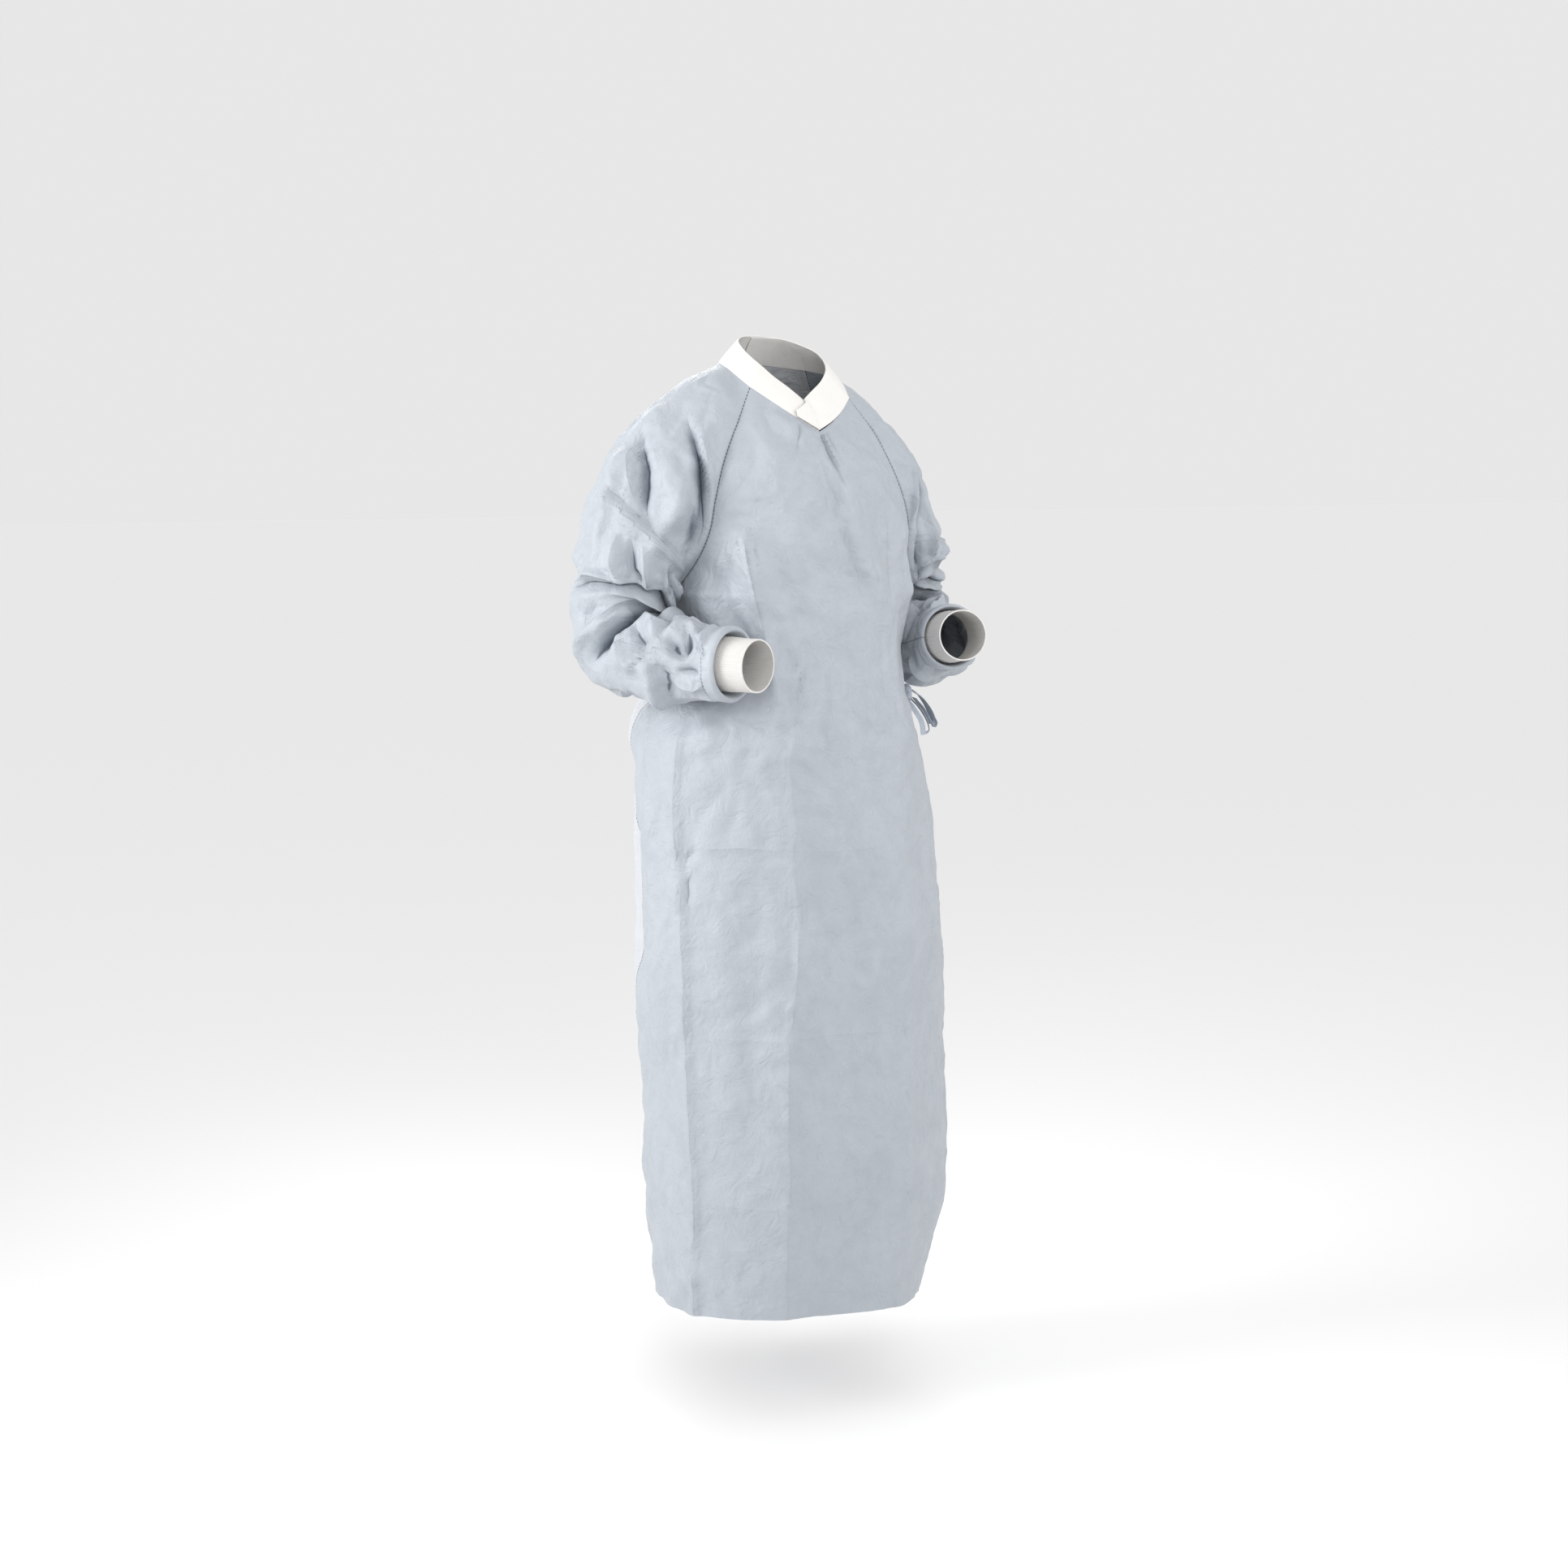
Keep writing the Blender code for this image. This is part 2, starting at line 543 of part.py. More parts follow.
def sleeve(caps, rings, folds, side):
    """A sleeve's rows: arcs down to the armhole's lowest point, then rings to the end.

    A ring's last column is its first one again.
    """
    spread = np.linspace(-1, 1, SLEEVE_COLUMNS + 1)
    shares = np.linspace(0, 1, RAGLAN_ROWS + 1)
    arcs = [cap(caps, share, spread) for share in shares]
    turned = -180 * spread
    key = [arcs[-3], arcs[-1]]
    for row in rings:
        ring = dict(zip(RING_COLUMNS, row))
        key.append(ellipse(ring, turned, ring["wide"], ring["deep"]))
    key = np.array(key)
    before = CAP_PLACES * (1 - shares[-3])
    straight = key[1] - before * (key[2] - key[1])
    key[0] += ease(0.55, 0.95, np.abs(spread))[:, None] * (straight - key[0])
    places = np.array([1 - before, *range(1, len(key))])
    at = np.linspace(1, len(rings) + 1, SLEEVE_STEPS * len(rings) + 1)
    tube = cubic(places, key.reshape(len(key), -1), at).reshape(len(at), -1, 3)
    grid = np.vstack([arcs, tube[1:]])
    places = np.concatenate([shares, at[1:]])[:, None] + 0 * spread
    half = columns(CAP_COLUMNS, caps, np.clip(places, 0, 1))["half"]
    lift = sleeve_folds(grid, places, -spread * half, folds)
    lift *= ease(0, 0.25, places) * ease(0, 0.5, len(rings) + 1 - places)
    at_seam = ease(0.0, 0.25, 1 - np.abs(spread) + ease(0.95, 1.6, places))
    lift *= at_seam * ease(0, 0.011, np.linalg.norm(np.gradient(grid, axis=0), axis=-1))
    grid = grid + grid_normals(grid, RAGLAN_ROWS) * lift[..., None]
    grid = np.vstack([grid, lip(dict(zip(RING_COLUMNS, rings[-1])), turned)])
    return grid * (side, -1, 1)


def ellipse(ring, turned, wide, deep, ahead=0.0):
    """Points round a ring at these angles, which may lie ahead of its own plane."""
    middle, outside, crook = ring_frame(ring)
    forward = unit(np.cross(crook, outside))
    turned = np.radians(turned)[:, None]
    return (
        middle
        + ahead * forward
        + wide * np.cos(turned) * outside
        + deep * np.sin(turned) * crook
    )


def sleeve_folds(grid, places, turned, folds):
    """How far the folds lift a sleeve's cloth, by the distance to each fold's line."""
    step = 0.030  # length of cloth for one whole place below the armhole
    run = np.where(places < 1, CAP_PLACES * places, CAP_PLACES - 1 + places) * step
    middle = grid.mean(axis=1, keepdims=True)
    size = np.linalg.norm(grid - middle, axis=-1).mean(axis=1, keepdims=True)
    lift = np.zeros(places.shape)
    for row in folds:
        fold = dict(zip(SLEEVE_FOLD_COLUMNS, row))
        ends = np.array([fold["place_a"], fold["place_b"]])
        ends = np.where(ends < 1, CAP_PLACES * ends, CAP_PLACES - 1 + ends) * step
        wrap = (turned - fold["angle_a"] + 180) % 360 - 180
        line = np.stack(
            np.broadcast_arrays(
                ends[1] - ends[0], np.radians(fold["angle_b"] - fold["angle_a"]) * size
            ),
            axis=-1,
        )
        here = np.stack([run - ends[0], np.radians(wrap) * size], axis=-1)
        share = (line * here).sum(-1) / (line**2).sum(-1)
        off = np.linalg.norm(here - np.clip(share, 0, 1)[..., None] * line, axis=-1)
        shape = fold_shape(off, fold["wide"], fold["crisp"])
        lift = lift + fold["depth"] * shape * fold_window(np.clip(share, 0, 1))
    return lift


def lip(ring, turned):
    """The rings that turn in over the sleeve's end, towards the cuff."""
    rings = []
    for row in LIP:
        step = dict(zip(LIP_COLUMNS, row))
        wide, deep = (
            ring[size] + step["inward"] * (CUFF_SOCKET - ring[size]) for size in ("wide", "deep")
        )
        rings.append(ellipse(ring, turned, wide, deep, step["ahead"]))
    return np.array(rings)


def cuff(ring, side):
    """A knitted cuff: a tube from inside the sleeve's end, out past its lip."""
    turned = np.linspace(180, -180, SLEEVE_COLUMNS + 1)
    rings = []
    for row in CUFF:
        step = dict(zip(CUFF_COLUMNS, row))
        radius = step["radius"]
        rings.append(
            ellipse(dict(zip(RING_COLUMNS, ring)), turned, radius, radius, step["ahead"])
        )
    return np.array(rings) * (side, -1, 1)


def neckline(side):
    """The neck's seam from the middle of the front round to the lap's edge at the back."""
    edge = seam_angle(np.array(RAGLAN_FRONT[0]))
    half = FRONT_COLUMNS // 2
    angle = np.linspace(0, 1, half + 1) * edge
    front = chest_row(RAGLAN_FRONT, FRONT_MIDDLE, 0.0, side * angle)
    shoulder = neck_edge(np.linspace(0, 1, SLEEVE_COLUMNS + 1)) * (side, -1, 1)
    back = back_panel(side)[0]
    return np.vstack([front, shoulder[1:-1], back])


def neck_band(side):
    """Rows from the neck's seam up to the collar's edge, from the front to the back."""
    low = neckline(side)
    turned = np.degrees(np.arctan2(side * low[:, 0], -low[:, 1]))
    turned[len(turned) // 2 :] %= 360
    edge = columns(COLLAR_COLUMNS, COLLAR, turned)
    high = polar(side * np.radians(turned), edge["drop"], edge["radius"])
    share = np.linspace(0, 1, BAND_ROWS + 1)[:, None, None]
    grid = low + share * (high - low)
    lift = BAND_ROLL * np.sin(math.pi * share) + share * lap_lift(side, turned)[:, None]
    if side > 0:
        lift = lift + BAND_LIFT * ease(-40, 0, -turned)[:, None]
    grid = grid + side * grid_normals(grid) * lift
    return np.hstack([band_lap(), grid]) if side > 0 else grid


def band_lap():
    """The left band's end: columns that follow the right band, each cut shorter."""
    right = neck_band(-1)
    right = right - grid_normals(right) * BAND_LIFT
    rows = np.arange(BAND_ROWS + 1)
    laps = [
        cubic(rows, right[:, column], rows * (1 - column / NECK_LAP))
        for column in BAND_LAP_AT
    ]
    return np.stack(laps, axis=1)


def posture(points):
    """The wearer's left shoulder hangs lower, the neck leans right and the hem dips."""
    x, y, z = np.moveaxis(points, -1, 0)
    out = np.clip(x, 0, None)
    fall = LEFT_SHOULDER_FALL * out**2 / (out + 0.04) * ease(-0.32, -0.06, z)
    sway = NECK_SWAY * ease(-0.07, 0.0, z)
    turned = np.arctan2(x, -y) + math.radians(HEM_TURN)
    dip = HEM_DIP * np.sin(turned) ** 2 * ease(1.05, 1.29, -z)
    return stack(x - sway, y, z - fall - dip)


def strap():
    """The tie's strap, laid on the body's cloth from the bow back to the lap's edge."""
    row = columns(STRAP_COLUMNS, STRAP, np.linspace(STRAP[0][0], STRAP[-1][0], 17))
    angle = np.linspace(STRAP[0][0], STRAP[-1][0], 17)
    across = np.linspace(-0.5, 0.5, 3)[:, None]
    drop = row["drop"] + across * row["width"]
    laid = skirt_points(np.radians(angle) + 0 * across, drop)
    out = -grid_normals(laid)
    lift = TIE_CLEAR + 1.6 * LAYER * ease(142, 152, angle)
    return laid + out * lift[:, None]


def ribbon(name):
    """One ribbon of the bow, as rows along it."""
    middles, width, across = RIBBONS[name]
    middles = np.array(middles) * (1, -1, -1)
    share = np.linspace(0, 1, RIBBON_STEPS * (len(middles) - 1) + 1)
    path = along(middles, share)
    across = unit(np.array(across) * (1, -1, -1))
    heading = unit(np.gradient(path, axis=0))
    across = unit(across - (heading @ across)[:, None] * heading)
    spread = np.linspace(-0.5, 0.5, 3)[:, None] * width
    return path[:, None] + across[:, None] * spread


def knot():
    """The bow's knot: a squashed ball with a crease round its middle."""
    mesh = bpy.data.meshes.new("tie_knot")
    ball = bmesh.new()
    bmesh.ops.create_icosphere(ball, subdivisions=3, radius=1.0)
    for point in ball.verts:
        x, y, z = point.co
        pinch = 1 - 0.16 * math.exp(-((z / 0.30) ** 2)) + 0.07 * math.sin(5 * y + 3 * x)
        size = np.array(KNOT_SIZE) * pinch
        point.co = np.array(KNOT) * (1, -1, -1) + size * (x, y, z)
    ball.to_mesh(mesh)
    ball.free()
    place("tie_knot", mesh, "gown")


def grid_normals(grid, closed_from=None):
    """Unit normals of a grid, rows by columns, from its central differences.

    From the row `closed_from` on, a row's last column is its first one again.
    """
    down = np.gradient(grid, axis=0)
    across = np.gradient(grid, axis=1)
    if closed_from is not None:
        wrap = 0.5 * (grid[closed_from:, 1] - grid[closed_from:, -2])
        across[closed_from:, 0] = across[closed_from:, -1] = wrap
        down[closed_from:, -1] = down[closed_from:, 0]
    return unit(np.cross(across, down))


def share_normals(*ends):
    """Gives pieces that meet at a seam one normal there. Each end is (normals, index)."""
    total = sum(normals[index] for normals, index in ends)
    for normals, index in ends:
        normals[index] = unit(total)


def pull_back(grid, edges, rows=None):
    """Moves the named edges of a grid half a seam's gap into it."""
    moved = grid.copy()
    half = SEAM_GAP / 2
    if "start" in edges:
        moved[:rows, 0] += half * unit(grid[:rows, 1] - grid[:rows, 0])
    if "end" in edges:
        moved[:rows, -1] += half * unit(grid[:rows, -2] - grid[:rows, -1])
    if "top" in edges:
        moved[0] += half * unit(grid[1] - grid[0])
    return moved


def wall(name, grid, normals, thick, colour, closed_from=None):
    """A closed solid: the grid moved out and in by half the wall, and joined at its rims."""
    rows, cols = grid.shape[:2]
    other = rows * cols
    points = np.vstack([(grid + side * normals * thick / 2).reshape(-1, 3) for side in (1, -1)])
    index = np.arange(other).reshape(rows, cols)
    if closed_from is None:
        rims = [np.concatenate([index[0], index[1:, -1], index[-1, -2::-1], index[-2::-1, 0]])]
    else:
        index[closed_from:, -1] = index[closed_from:, 0]
        top = [index[0], index[1 : closed_from + 1, -1], index[:closed_from, 0][::-1]]
        rims = [np.concatenate(top), index[-1, ::-1]]
    a, b = index[:-1, :-1].ravel(), index[:-1, 1:].ravel()
    c, d = index[1:, 1:].ravel(), index[1:, :-1].ravel()
    # Both skins split a cell along its shorter diagonal, so that they stay a wall apart.
    flat = grid.reshape(-1, 3)
    falling = np.linalg.norm(flat[a] - flat[c], axis=1) < np.linalg.norm(flat[b] - flat[d], axis=1)
    upper = np.stack([a, b, np.where(falling, c, d)], axis=1)
    lower = np.stack([np.where(falling, a, b), c, d], axis=1)
    shell = np.vstack([upper, lower])
    faces = [shell[:, ::-1], shell + other]
    for loop in rims:
        start, end = loop[:-1], loop[1:]
        faces.append(np.stack([start, end, end + other], axis=1))
        faces.append(np.stack([start, end + other, start + other], axis=1))
    faces = np.vstack(faces)
    if (normals * grid_normals(grid, closed_from)).sum() > 0:
        faces = faces[:, ::-1]
    used, faces = np.unique(faces, return_inverse=True)
    mesh = bpy.data.meshes.new(name)
    mesh.from_pydata(points[used].tolist(), [], faces.reshape(-1, 3).tolist())
    place(name, mesh, colour)


def place(name, mesh, colour):
    """Puts a finished mesh into the scene, with its material."""
    mesh.validate()
    mesh.shade_smooth()
    mesh.set_sharp_from_angle(angle=math.radians(60))
    mesh.materials.append(material(colour))
    bpy.context.scene.collection.objects.link(bpy.data.objects.new(name, mesh))


def material(colour):
    """A Principled BSDF for one of the gown's cloths."""
    found = bpy.data.materials.get(colour)
    if found:
        return found
    found = bpy.data.materials.new(colour)
    found.use_nodes = True
    shader = found.node_tree.nodes["Principled BSDF"]
    shader.inputs["Base Color"].default_value = (*COLOURS[colour], 1)
    shader.inputs["Roughness"].default_value = 0.75
    shader.inputs["Metallic"].default_value = 0.0
    return found


def main():
    for old in list(bpy.data.objects):
        bpy.data.objects.remove(old)
    front = posture(front_panel())
    backs = {side: posture(back_panel(side)) for side in (-1, 1)}
    sleeves = {
        -1: posture(sleeve(CAP_RIGHT, RINGS_RIGHT, RIGHT_FOLDS, -1)),
        1: posture(sleeve(CAP_LEFT, RINGS_LEFT, LEFT_FOLDS, 1)),
    }
    bands = {side: posture(neck_band(side)) for side in (-1, 1)}
    cuffs = {-1: cuff(RINGS_RIGHT[-1], -1), 1: cuff(RINGS_LEFT[-1], 1)}

    # Outward normals, made one along every seam.
    of_front = -grid_normals(front)
    of_back = {side: -side * grid_normals(backs[side]) for side in (-1, 1)}
    of_sleeve = {side: -side * grid_normals(sleeves[side], RAGLAN_ROWS) for side in (-1, 1)}
    for side, column in ((-1, 0), (1, -1)):
        for row in range(RAGLAN_ROWS):
            share_normals((of_front, (row, column)), (of_sleeve[side], (row, 0)))
            share_normals((of_back[side], (row, 0)), (of_sleeve[side], (row, -1)))
        for row in range(RAGLAN_ROWS, RAGLAN_ROWS + 1 + SKIRT_ROWS):
            share_normals((of_front, (row, column)), (of_back[side], (row, 0)))

    of_band = {side: side * grid_normals(bands[side]) for side in (-1, 1)}
    half = FRONT_COLUMNS // 2
    for side in (-1, 1):
        first = len(BAND_LAP_AT) if side > 0 else 0
        for k in range(half):
            on_band = (0, first + k)
            share_normals((of_front, (0, half + side * k)), (of_band[side], on_band))
        for k in range(1, SLEEVE_COLUMNS):
            on_band = (0, first + half + k)
            share_normals((of_sleeve[side], (0, k)), (of_band[side], on_band))
        for k in range(1, BACK_COLUMNS + 1):
            on_band = (0, first + half + SLEEVE_COLUMNS + k)
            share_normals((of_back[side], (0, k)), (of_band[side], on_band))
        share_normals(
            (of_front, (0, half + side * half)),
            (of_sleeve[side], (0, 0)),
            (of_band[side], (0, first + half)),
        )
        share_normals(
            (of_back[side], (0, 0)),
            (of_sleeve[side], (0, -1)),
            (of_band[side], (0, first + half + SLEEVE_COLUMNS)),
        )

    front = pull_back(front, ("start", "end", "top"))
    wall("front_panel", front, of_front, CLOTH, "gown")
    for side, name in ((-1, "right"), (1, "left")):
        back = pull_back(backs[side], ("start", "top"))
        wall(f"back_panel_{name}", back, of_back[side], CLOTH, "back")
        tube = pull_back(sleeves[side], ("start", "end", "top"), RAGLAN_ROWS)
        wall(f"sleeve_{name}", tube, of_sleeve[side], CLOTH, "gown", RAGLAN_ROWS)
        band = pull_back(bands[side], ("top",))
        wall(f"neck_band_{name}", band, of_band[side], BAND_CLOTH, "band")
        wall(f"cuff_{name}", cuffs[side], -side * grid_normals(cuffs[side], 0), KNIT, "knit", 0)
    laid = strap()
    wall("tie_strap", laid, -grid_normals(laid), TIE_CLOTH, "gown")
    knot()
    for name in RIBBONS:
        laid = ribbon(name)
        wall(name, laid, grid_normals(laid), TIE_CLOTH, "gown")


main()
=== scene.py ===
"""A worn surgical gown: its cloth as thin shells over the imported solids, and a plain stage.

Lengths are in metres and angles in degrees. Z is up, the front faces -Y and the wearer's
left hand is at +X. `drop` is a distance below the shoulder line, `out` one away from the
middle of the body, and `ahead` one to the front.
"""

import math

import bpy
import numpy as np
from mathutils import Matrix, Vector


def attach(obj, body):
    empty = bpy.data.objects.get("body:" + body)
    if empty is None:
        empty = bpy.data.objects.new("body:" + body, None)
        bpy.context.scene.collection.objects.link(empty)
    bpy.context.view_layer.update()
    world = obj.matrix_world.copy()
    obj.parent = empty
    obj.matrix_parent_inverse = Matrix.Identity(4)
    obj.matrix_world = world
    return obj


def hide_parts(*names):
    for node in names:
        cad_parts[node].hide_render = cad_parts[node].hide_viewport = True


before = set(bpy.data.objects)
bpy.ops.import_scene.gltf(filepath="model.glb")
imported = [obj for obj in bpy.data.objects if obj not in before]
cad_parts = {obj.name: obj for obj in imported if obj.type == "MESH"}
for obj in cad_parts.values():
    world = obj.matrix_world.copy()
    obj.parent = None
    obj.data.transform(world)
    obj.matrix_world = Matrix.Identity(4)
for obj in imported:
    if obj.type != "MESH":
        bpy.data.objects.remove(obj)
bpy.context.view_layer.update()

bl_info = {
    "name": "Surgical gown",
    "version": (1, 0, 0),
    "blender": (4, 5, 0),
    "location": "3D View > Sidebar > Gown",
    "description": "Cuts, folds and sews a worn surgical gown",
    "category": "Object",
}

# How finely each piece is cut into cells.
FRONT_COLUMNS = 180
BACK_COLUMNS = {-1: 84, 1: 64}
RAGLAN_ROWS = 84
SKIRT_ROWS = 180
SLEEVE_COLUMNS = 200
SLEEVE_STEPS = 16  # rows between two rings of a sleeve's table
LIP_STEPS = 4
BAND_ROWS = 14
CUFF_COLUMNS_ROUND = 288
CUFF_RIBS = 72
CUFF_ROWS = 14
STRAP_STEPS = 120
STRAP_ROWS = 12
RIBBON_STEPS = 7
RIBBON_COLUMNS = 10

# Sizes that the cloth's form is worked out from.
SEAM_GAP = 0.00012  # between two pieces that are sewn together
LAYER = 0.0021  # between the two back panels where they lap
UNDERARM = 0.0010  # from a sleeve's lowest corner out to the body's
NECK_ROW = 1 / 12  # share of a raglan seam over which that corner moves out
TUBE_FROM = 10 / 12  # share of the raglan seam from which the sleeve heads for its rings
CAP_PLACES = 8  # a sleeve above the armhole is as long as this many of its rings' spaces
PLACE_RUN = 0.030  # cloth in one such space
NECK_LAP = 7.5 / 36  # of the front's width that the left band's end lies over
BAND_LAP = 6 / 36  # of the front's width that it follows
BAND_LIFT = 0.0042  # of the left band's end over the right one
BAND_ROLL = 0.0010  # of a band's middle over its two edges
LEFT_SHOULDER_FALL = 0.27  # slope by which the wearer's left shoulder hangs lower
NECK_SWAY = 0.008  # how far the neck stands towards the wearer's right
HEM_DIP = 0.015  # how much lower the hem hangs at its lowest places
HEM_TURN = 27.0  # angle from there to the front
HEM_DEPTH = 0.032  # from the hem's edge up to its stitches
SLEEVE_HEM = 0.049  # from the cloth's end inside a sleeve back to its stitches
BODY_REACH = 0.19  # radius that turns an angle round the body into a length of cloth
SLEEVE_REACH = 0.065  # the same for a sleeve
BODY_BLUNT = 0.0040  # how far the body's grid rounds a crease's crest off
SLEEVE_BLUNT = 0.0026  # the same for a sleeve
SLEEVE_BOLD = 1.3  # how much deeper a sleeve's creases are than their table
LEAF = 0.055  # the most that a crease's leaf-shaped end takes
BELL = 2.2  # how fast a fold or crease falls off beside its line
CREASE_REACH = 2.2  # widths from its line at which a crease has ended
SHARP_UNDER = 1.15  # roundness under which a crease has a sharp crest
CREST_FAR = 9.0  # distance to a crest, in blunts, where there is none
CREST_ENDS = (1.6, 2.8)  # distances, in blunts, over which a crest dies out
STEEPEST = 0.6  # slope past which a crest is sharpened no more
CREVICE_SHADE_SLOPES = (0.9, 3.2)  # of the cloth beside a trough, as painted shade starts to darken it and is darkest
RIVALS = (0.06, 0.45)  # share of a crest's height over which a rival one hides both
RIB = 0.0005  # how far a cuff's ribs stand out
PLEAT = 0.0009  # the same for the strap's pleats
SIDES = {-1: "right", 1: "left"}  # the sign of X on each of the wearer's sides

# The body below the armholes: half widths to the front, left, back and right.
BODY_COLUMNS = ("drop", "front", "left", "back", "right", "square")
BODY = (
    (0.295, 0.156, 0.176, 0.150, 0.176, 2.2),
    (0.330, 0.159, 0.159, 0.150, 0.161, 2.3),
    (0.360, 0.161, 0.152, 0.150, 0.158, 2.3),
    (0.395, 0.163, 0.150, 0.148, 0.158, 2.3),
    (0.437, 0.165, 0.152, 0.150, 0.180, 2.4),
    (0.475, 0.168, 0.164, 0.158, 0.206, 2.4),
    (0.552, 0.172, 0.188, 0.172, 0.216, 2.3),
    (0.725, 0.178, 0.210, 0.180, 0.216, 2.3),
    (0.862, 0.184, 0.219, 0.184, 0.217, 2.3),
    (1.000, 0.187, 0.223, 0.180, 0.209, 2.3),
    (1.138, 0.184, 0.225, 0.174, 0.204, 2.3),
    (1.293, 0.170, 0.184, 0.164, 0.186, 2.5),
)

# The raglan seams (out, ahead, drop), from the neck to the armhole's lowest point.
RAGLAN_FRONT = (
    (0.076, 0.052, 0.016),
    (0.107, 0.064, 0.062),
    (0.134, 0.074, 0.118),
    (0.148, 0.077, 0.168),
    (0.153, 0.071, 0.208),
    (0.160, 0.054, 0.242),
    (0.168, 0.029, 0.270),
    (0.176, 0.000, 0.295),
)
RAGLAN_BACK = (
    (0.066, -0.058, -0.022),
    (0.100, -0.090, 0.024),
    (0.131, -0.114, 0.090),
    (0.149, -0.117, 0.150),
    (0.160, -0.104, 0.205),
    (0.169, -0.064, 0.245),
    (0.173, -0.031, 0.274),
    (0.176, 0.000, 0.295),
)

# The neck's seam (out, ahead, drop) over the shoulder, between the two raglan seams.
SHOULDER_NECK = ((0.0870, 0.012, -0.0080), (0.0845, -0.024, -0.0185))

# The middle of the front and of the back above the armholes. `share` runs down the raglan
# seam, `square` is the row's squareness, and `dip` bends a row from a V to a level line.
MIDDLE_COLUMNS = ("share", "drop", "depth", "square", "dip")
FRONT_MIDDLE = (
    (0.00, 0.076, 0.095, 1.45, 1.05),
    (0.25, 0.122, 0.124, 1.80, 1.30),
    (0.50, 0.178, 0.144, 2.05, 1.70),
    (0.75, 0.235, 0.153, 2.15, 2.00),
    (1.00, 0.295, 0.156, 2.20, 2.20),
)
BACK_MIDDLE = (
    (0.00, -0.020, 0.090, 2.0, 2.0),
    (0.25, 0.055, 0.128, 2.1, 2.0),
    (0.50, 0.132, 0.144, 2.2, 2.0),
    (0.75, 0.212, 0.151, 2.2, 2.0),
    (1.00, 0.295, 0.150, 2.2, 2.0),
)

# Where the front meets the back below the armholes, as an angle round from the front.
SIDE_COLUMNS = ("drop", "right", "left")
SIDE_SEAM = (
    (0.295, 90.0, 90.0),
    (0.400, 102.0, 104.0),
    (0.500, 110.0, 111.0),
    (0.600, 108.0, 111.0),
    (0.680, 99.0, 112.0),
    (0.735, 94.5, 112.0),
    (0.790, 99.0, 112.0),
    (0.870, 109.0, 112.0),
    (1.000, 112.0, 112.0),
    (1.293, 112.0, 112.0),
)

# How far the back panels run past the middle of the back.
LAP_COLUMNS = ("drop", "right", "left")
LAP = (
    (-0.022, 26.0, 14.0),
    (0.295, 27.0, 17.0),
    (0.440, 34.0, 18.0),
    (0.725, 30.0, 18.0),
    (1.293, 26.0, 18.0),
)

# The upper edge of the neck band, as an angle round from the front.
COLLAR_COLUMNS = ("angle", "radius", "drop")
COLLAR = (
    (0.0, 0.0600, 0.0345),
    (20.0, 0.0590, 0.0160),
    (40.0, 0.0590, 0.0000),
    (56.0, 0.0600, -0.0140),
    (80.0, 0.0605, -0.0310),
    (100.0, 0.0605, -0.0430),
    (127.0, 0.0610, -0.0520),
    (154.0, 0.0640, -0.0570),
    (180.0, 0.0670, -0.0565),
    (210.0, 0.0675, -0.0565),
)

# A sleeve above the armhole, as arcs from the front raglan seam over the arm to the back
# one. `share` runs down the seam and `half` is the arc's half angle. Out, ahead and drop
# place the arc's crown, and `fall` turns the way from its middle to the crown from up to
# out. `wide` is the ellipse's half size that way, and `deep` the one to the front.
CAP_COLUMNS = ("share", "out", "ahead", "drop", "fall", "wide", "deep", "half")
CAP_RIGHT = (
    (0.00, 0.0865, -0.004, -0.0135, 56.0, 0.019, 0.055, 90.0),
    (0.25, 0.1340, -0.013, 0.0050, 34.0, 0.056, 0.081, 92.0),
    (0.50, 0.2080, -0.022, 0.0590, 42.0, 0.082, 0.094, 100.0),
    (0.75, 0.2590, -0.030, 0.1330, 52.0, 0.089, 0.092, 118.0),
    (0.90, 0.2840, -0.034, 0.1950, 58.0, 0.077, 0.080, 148.0),
    (1.00, 0.2940, -0.037, 0.2360, 63.0, 0.065, 0.076, 180.0),
)
CAP_LEFT = (
    (0.00, 0.0865, -0.004, -0.0135, 56.0, 0.019, 0.055, 90.0),
    (0.25, 0.1290, -0.013, 0.0070, 34.0, 0.053, 0.079, 92.0),
    (0.50, 0.1960, -0.024, 0.0590, 38.0, 0.078, 0.090, 100.0),
    (0.75, 0.2330, -0.038, 0.1370, 48.0, 0.081, 0.086, 118.0),
    (0.90, 0.2450, -0.046, 0.1980, 55.0, 0.067, 0.075, 148.0),
    (1.00, 0.2500, -0.046, 0.2400, 60.0, 0.042, 0.070, 180.0),
)

# The sleeves' rings below the armhole. Out, ahead and drop place a ring's middle. `fall`
# and `turn` aim its outer side, and `swing` tips its front side up at the elbow's crook.
RING_COLUMNS = ("out", "ahead", "drop", "fall", "swing", "turn", "wide", "deep")
RINGS_RIGHT = (
    (0.2385, -0.036, 0.297, 64.0, 12.0, 0.0, 0.065, 0.075),
    (0.2430, -0.041, 0.328, 72.0, 24.0, 0.0, 0.066, 0.073),
    (0.2400, -0.018, 0.367, 86.0, 46.0, 4.0, 0.060, 0.072),
    (0.2310, 0.030, 0.381, 90.0, 74.0, 14.0, 0.057, 0.060),
    (0.2080, 0.088, 0.378, 90.0, 90.0, 24.0, 0.050, 0.053),
    (0.1840, 0.142, 0.380, 90.0, 90.0, 26.0, 0.047, 0.050),
    (0.1700, 0.172, 0.380, 90.0, 90.0, 26.0, 0.048, 0.051),
)
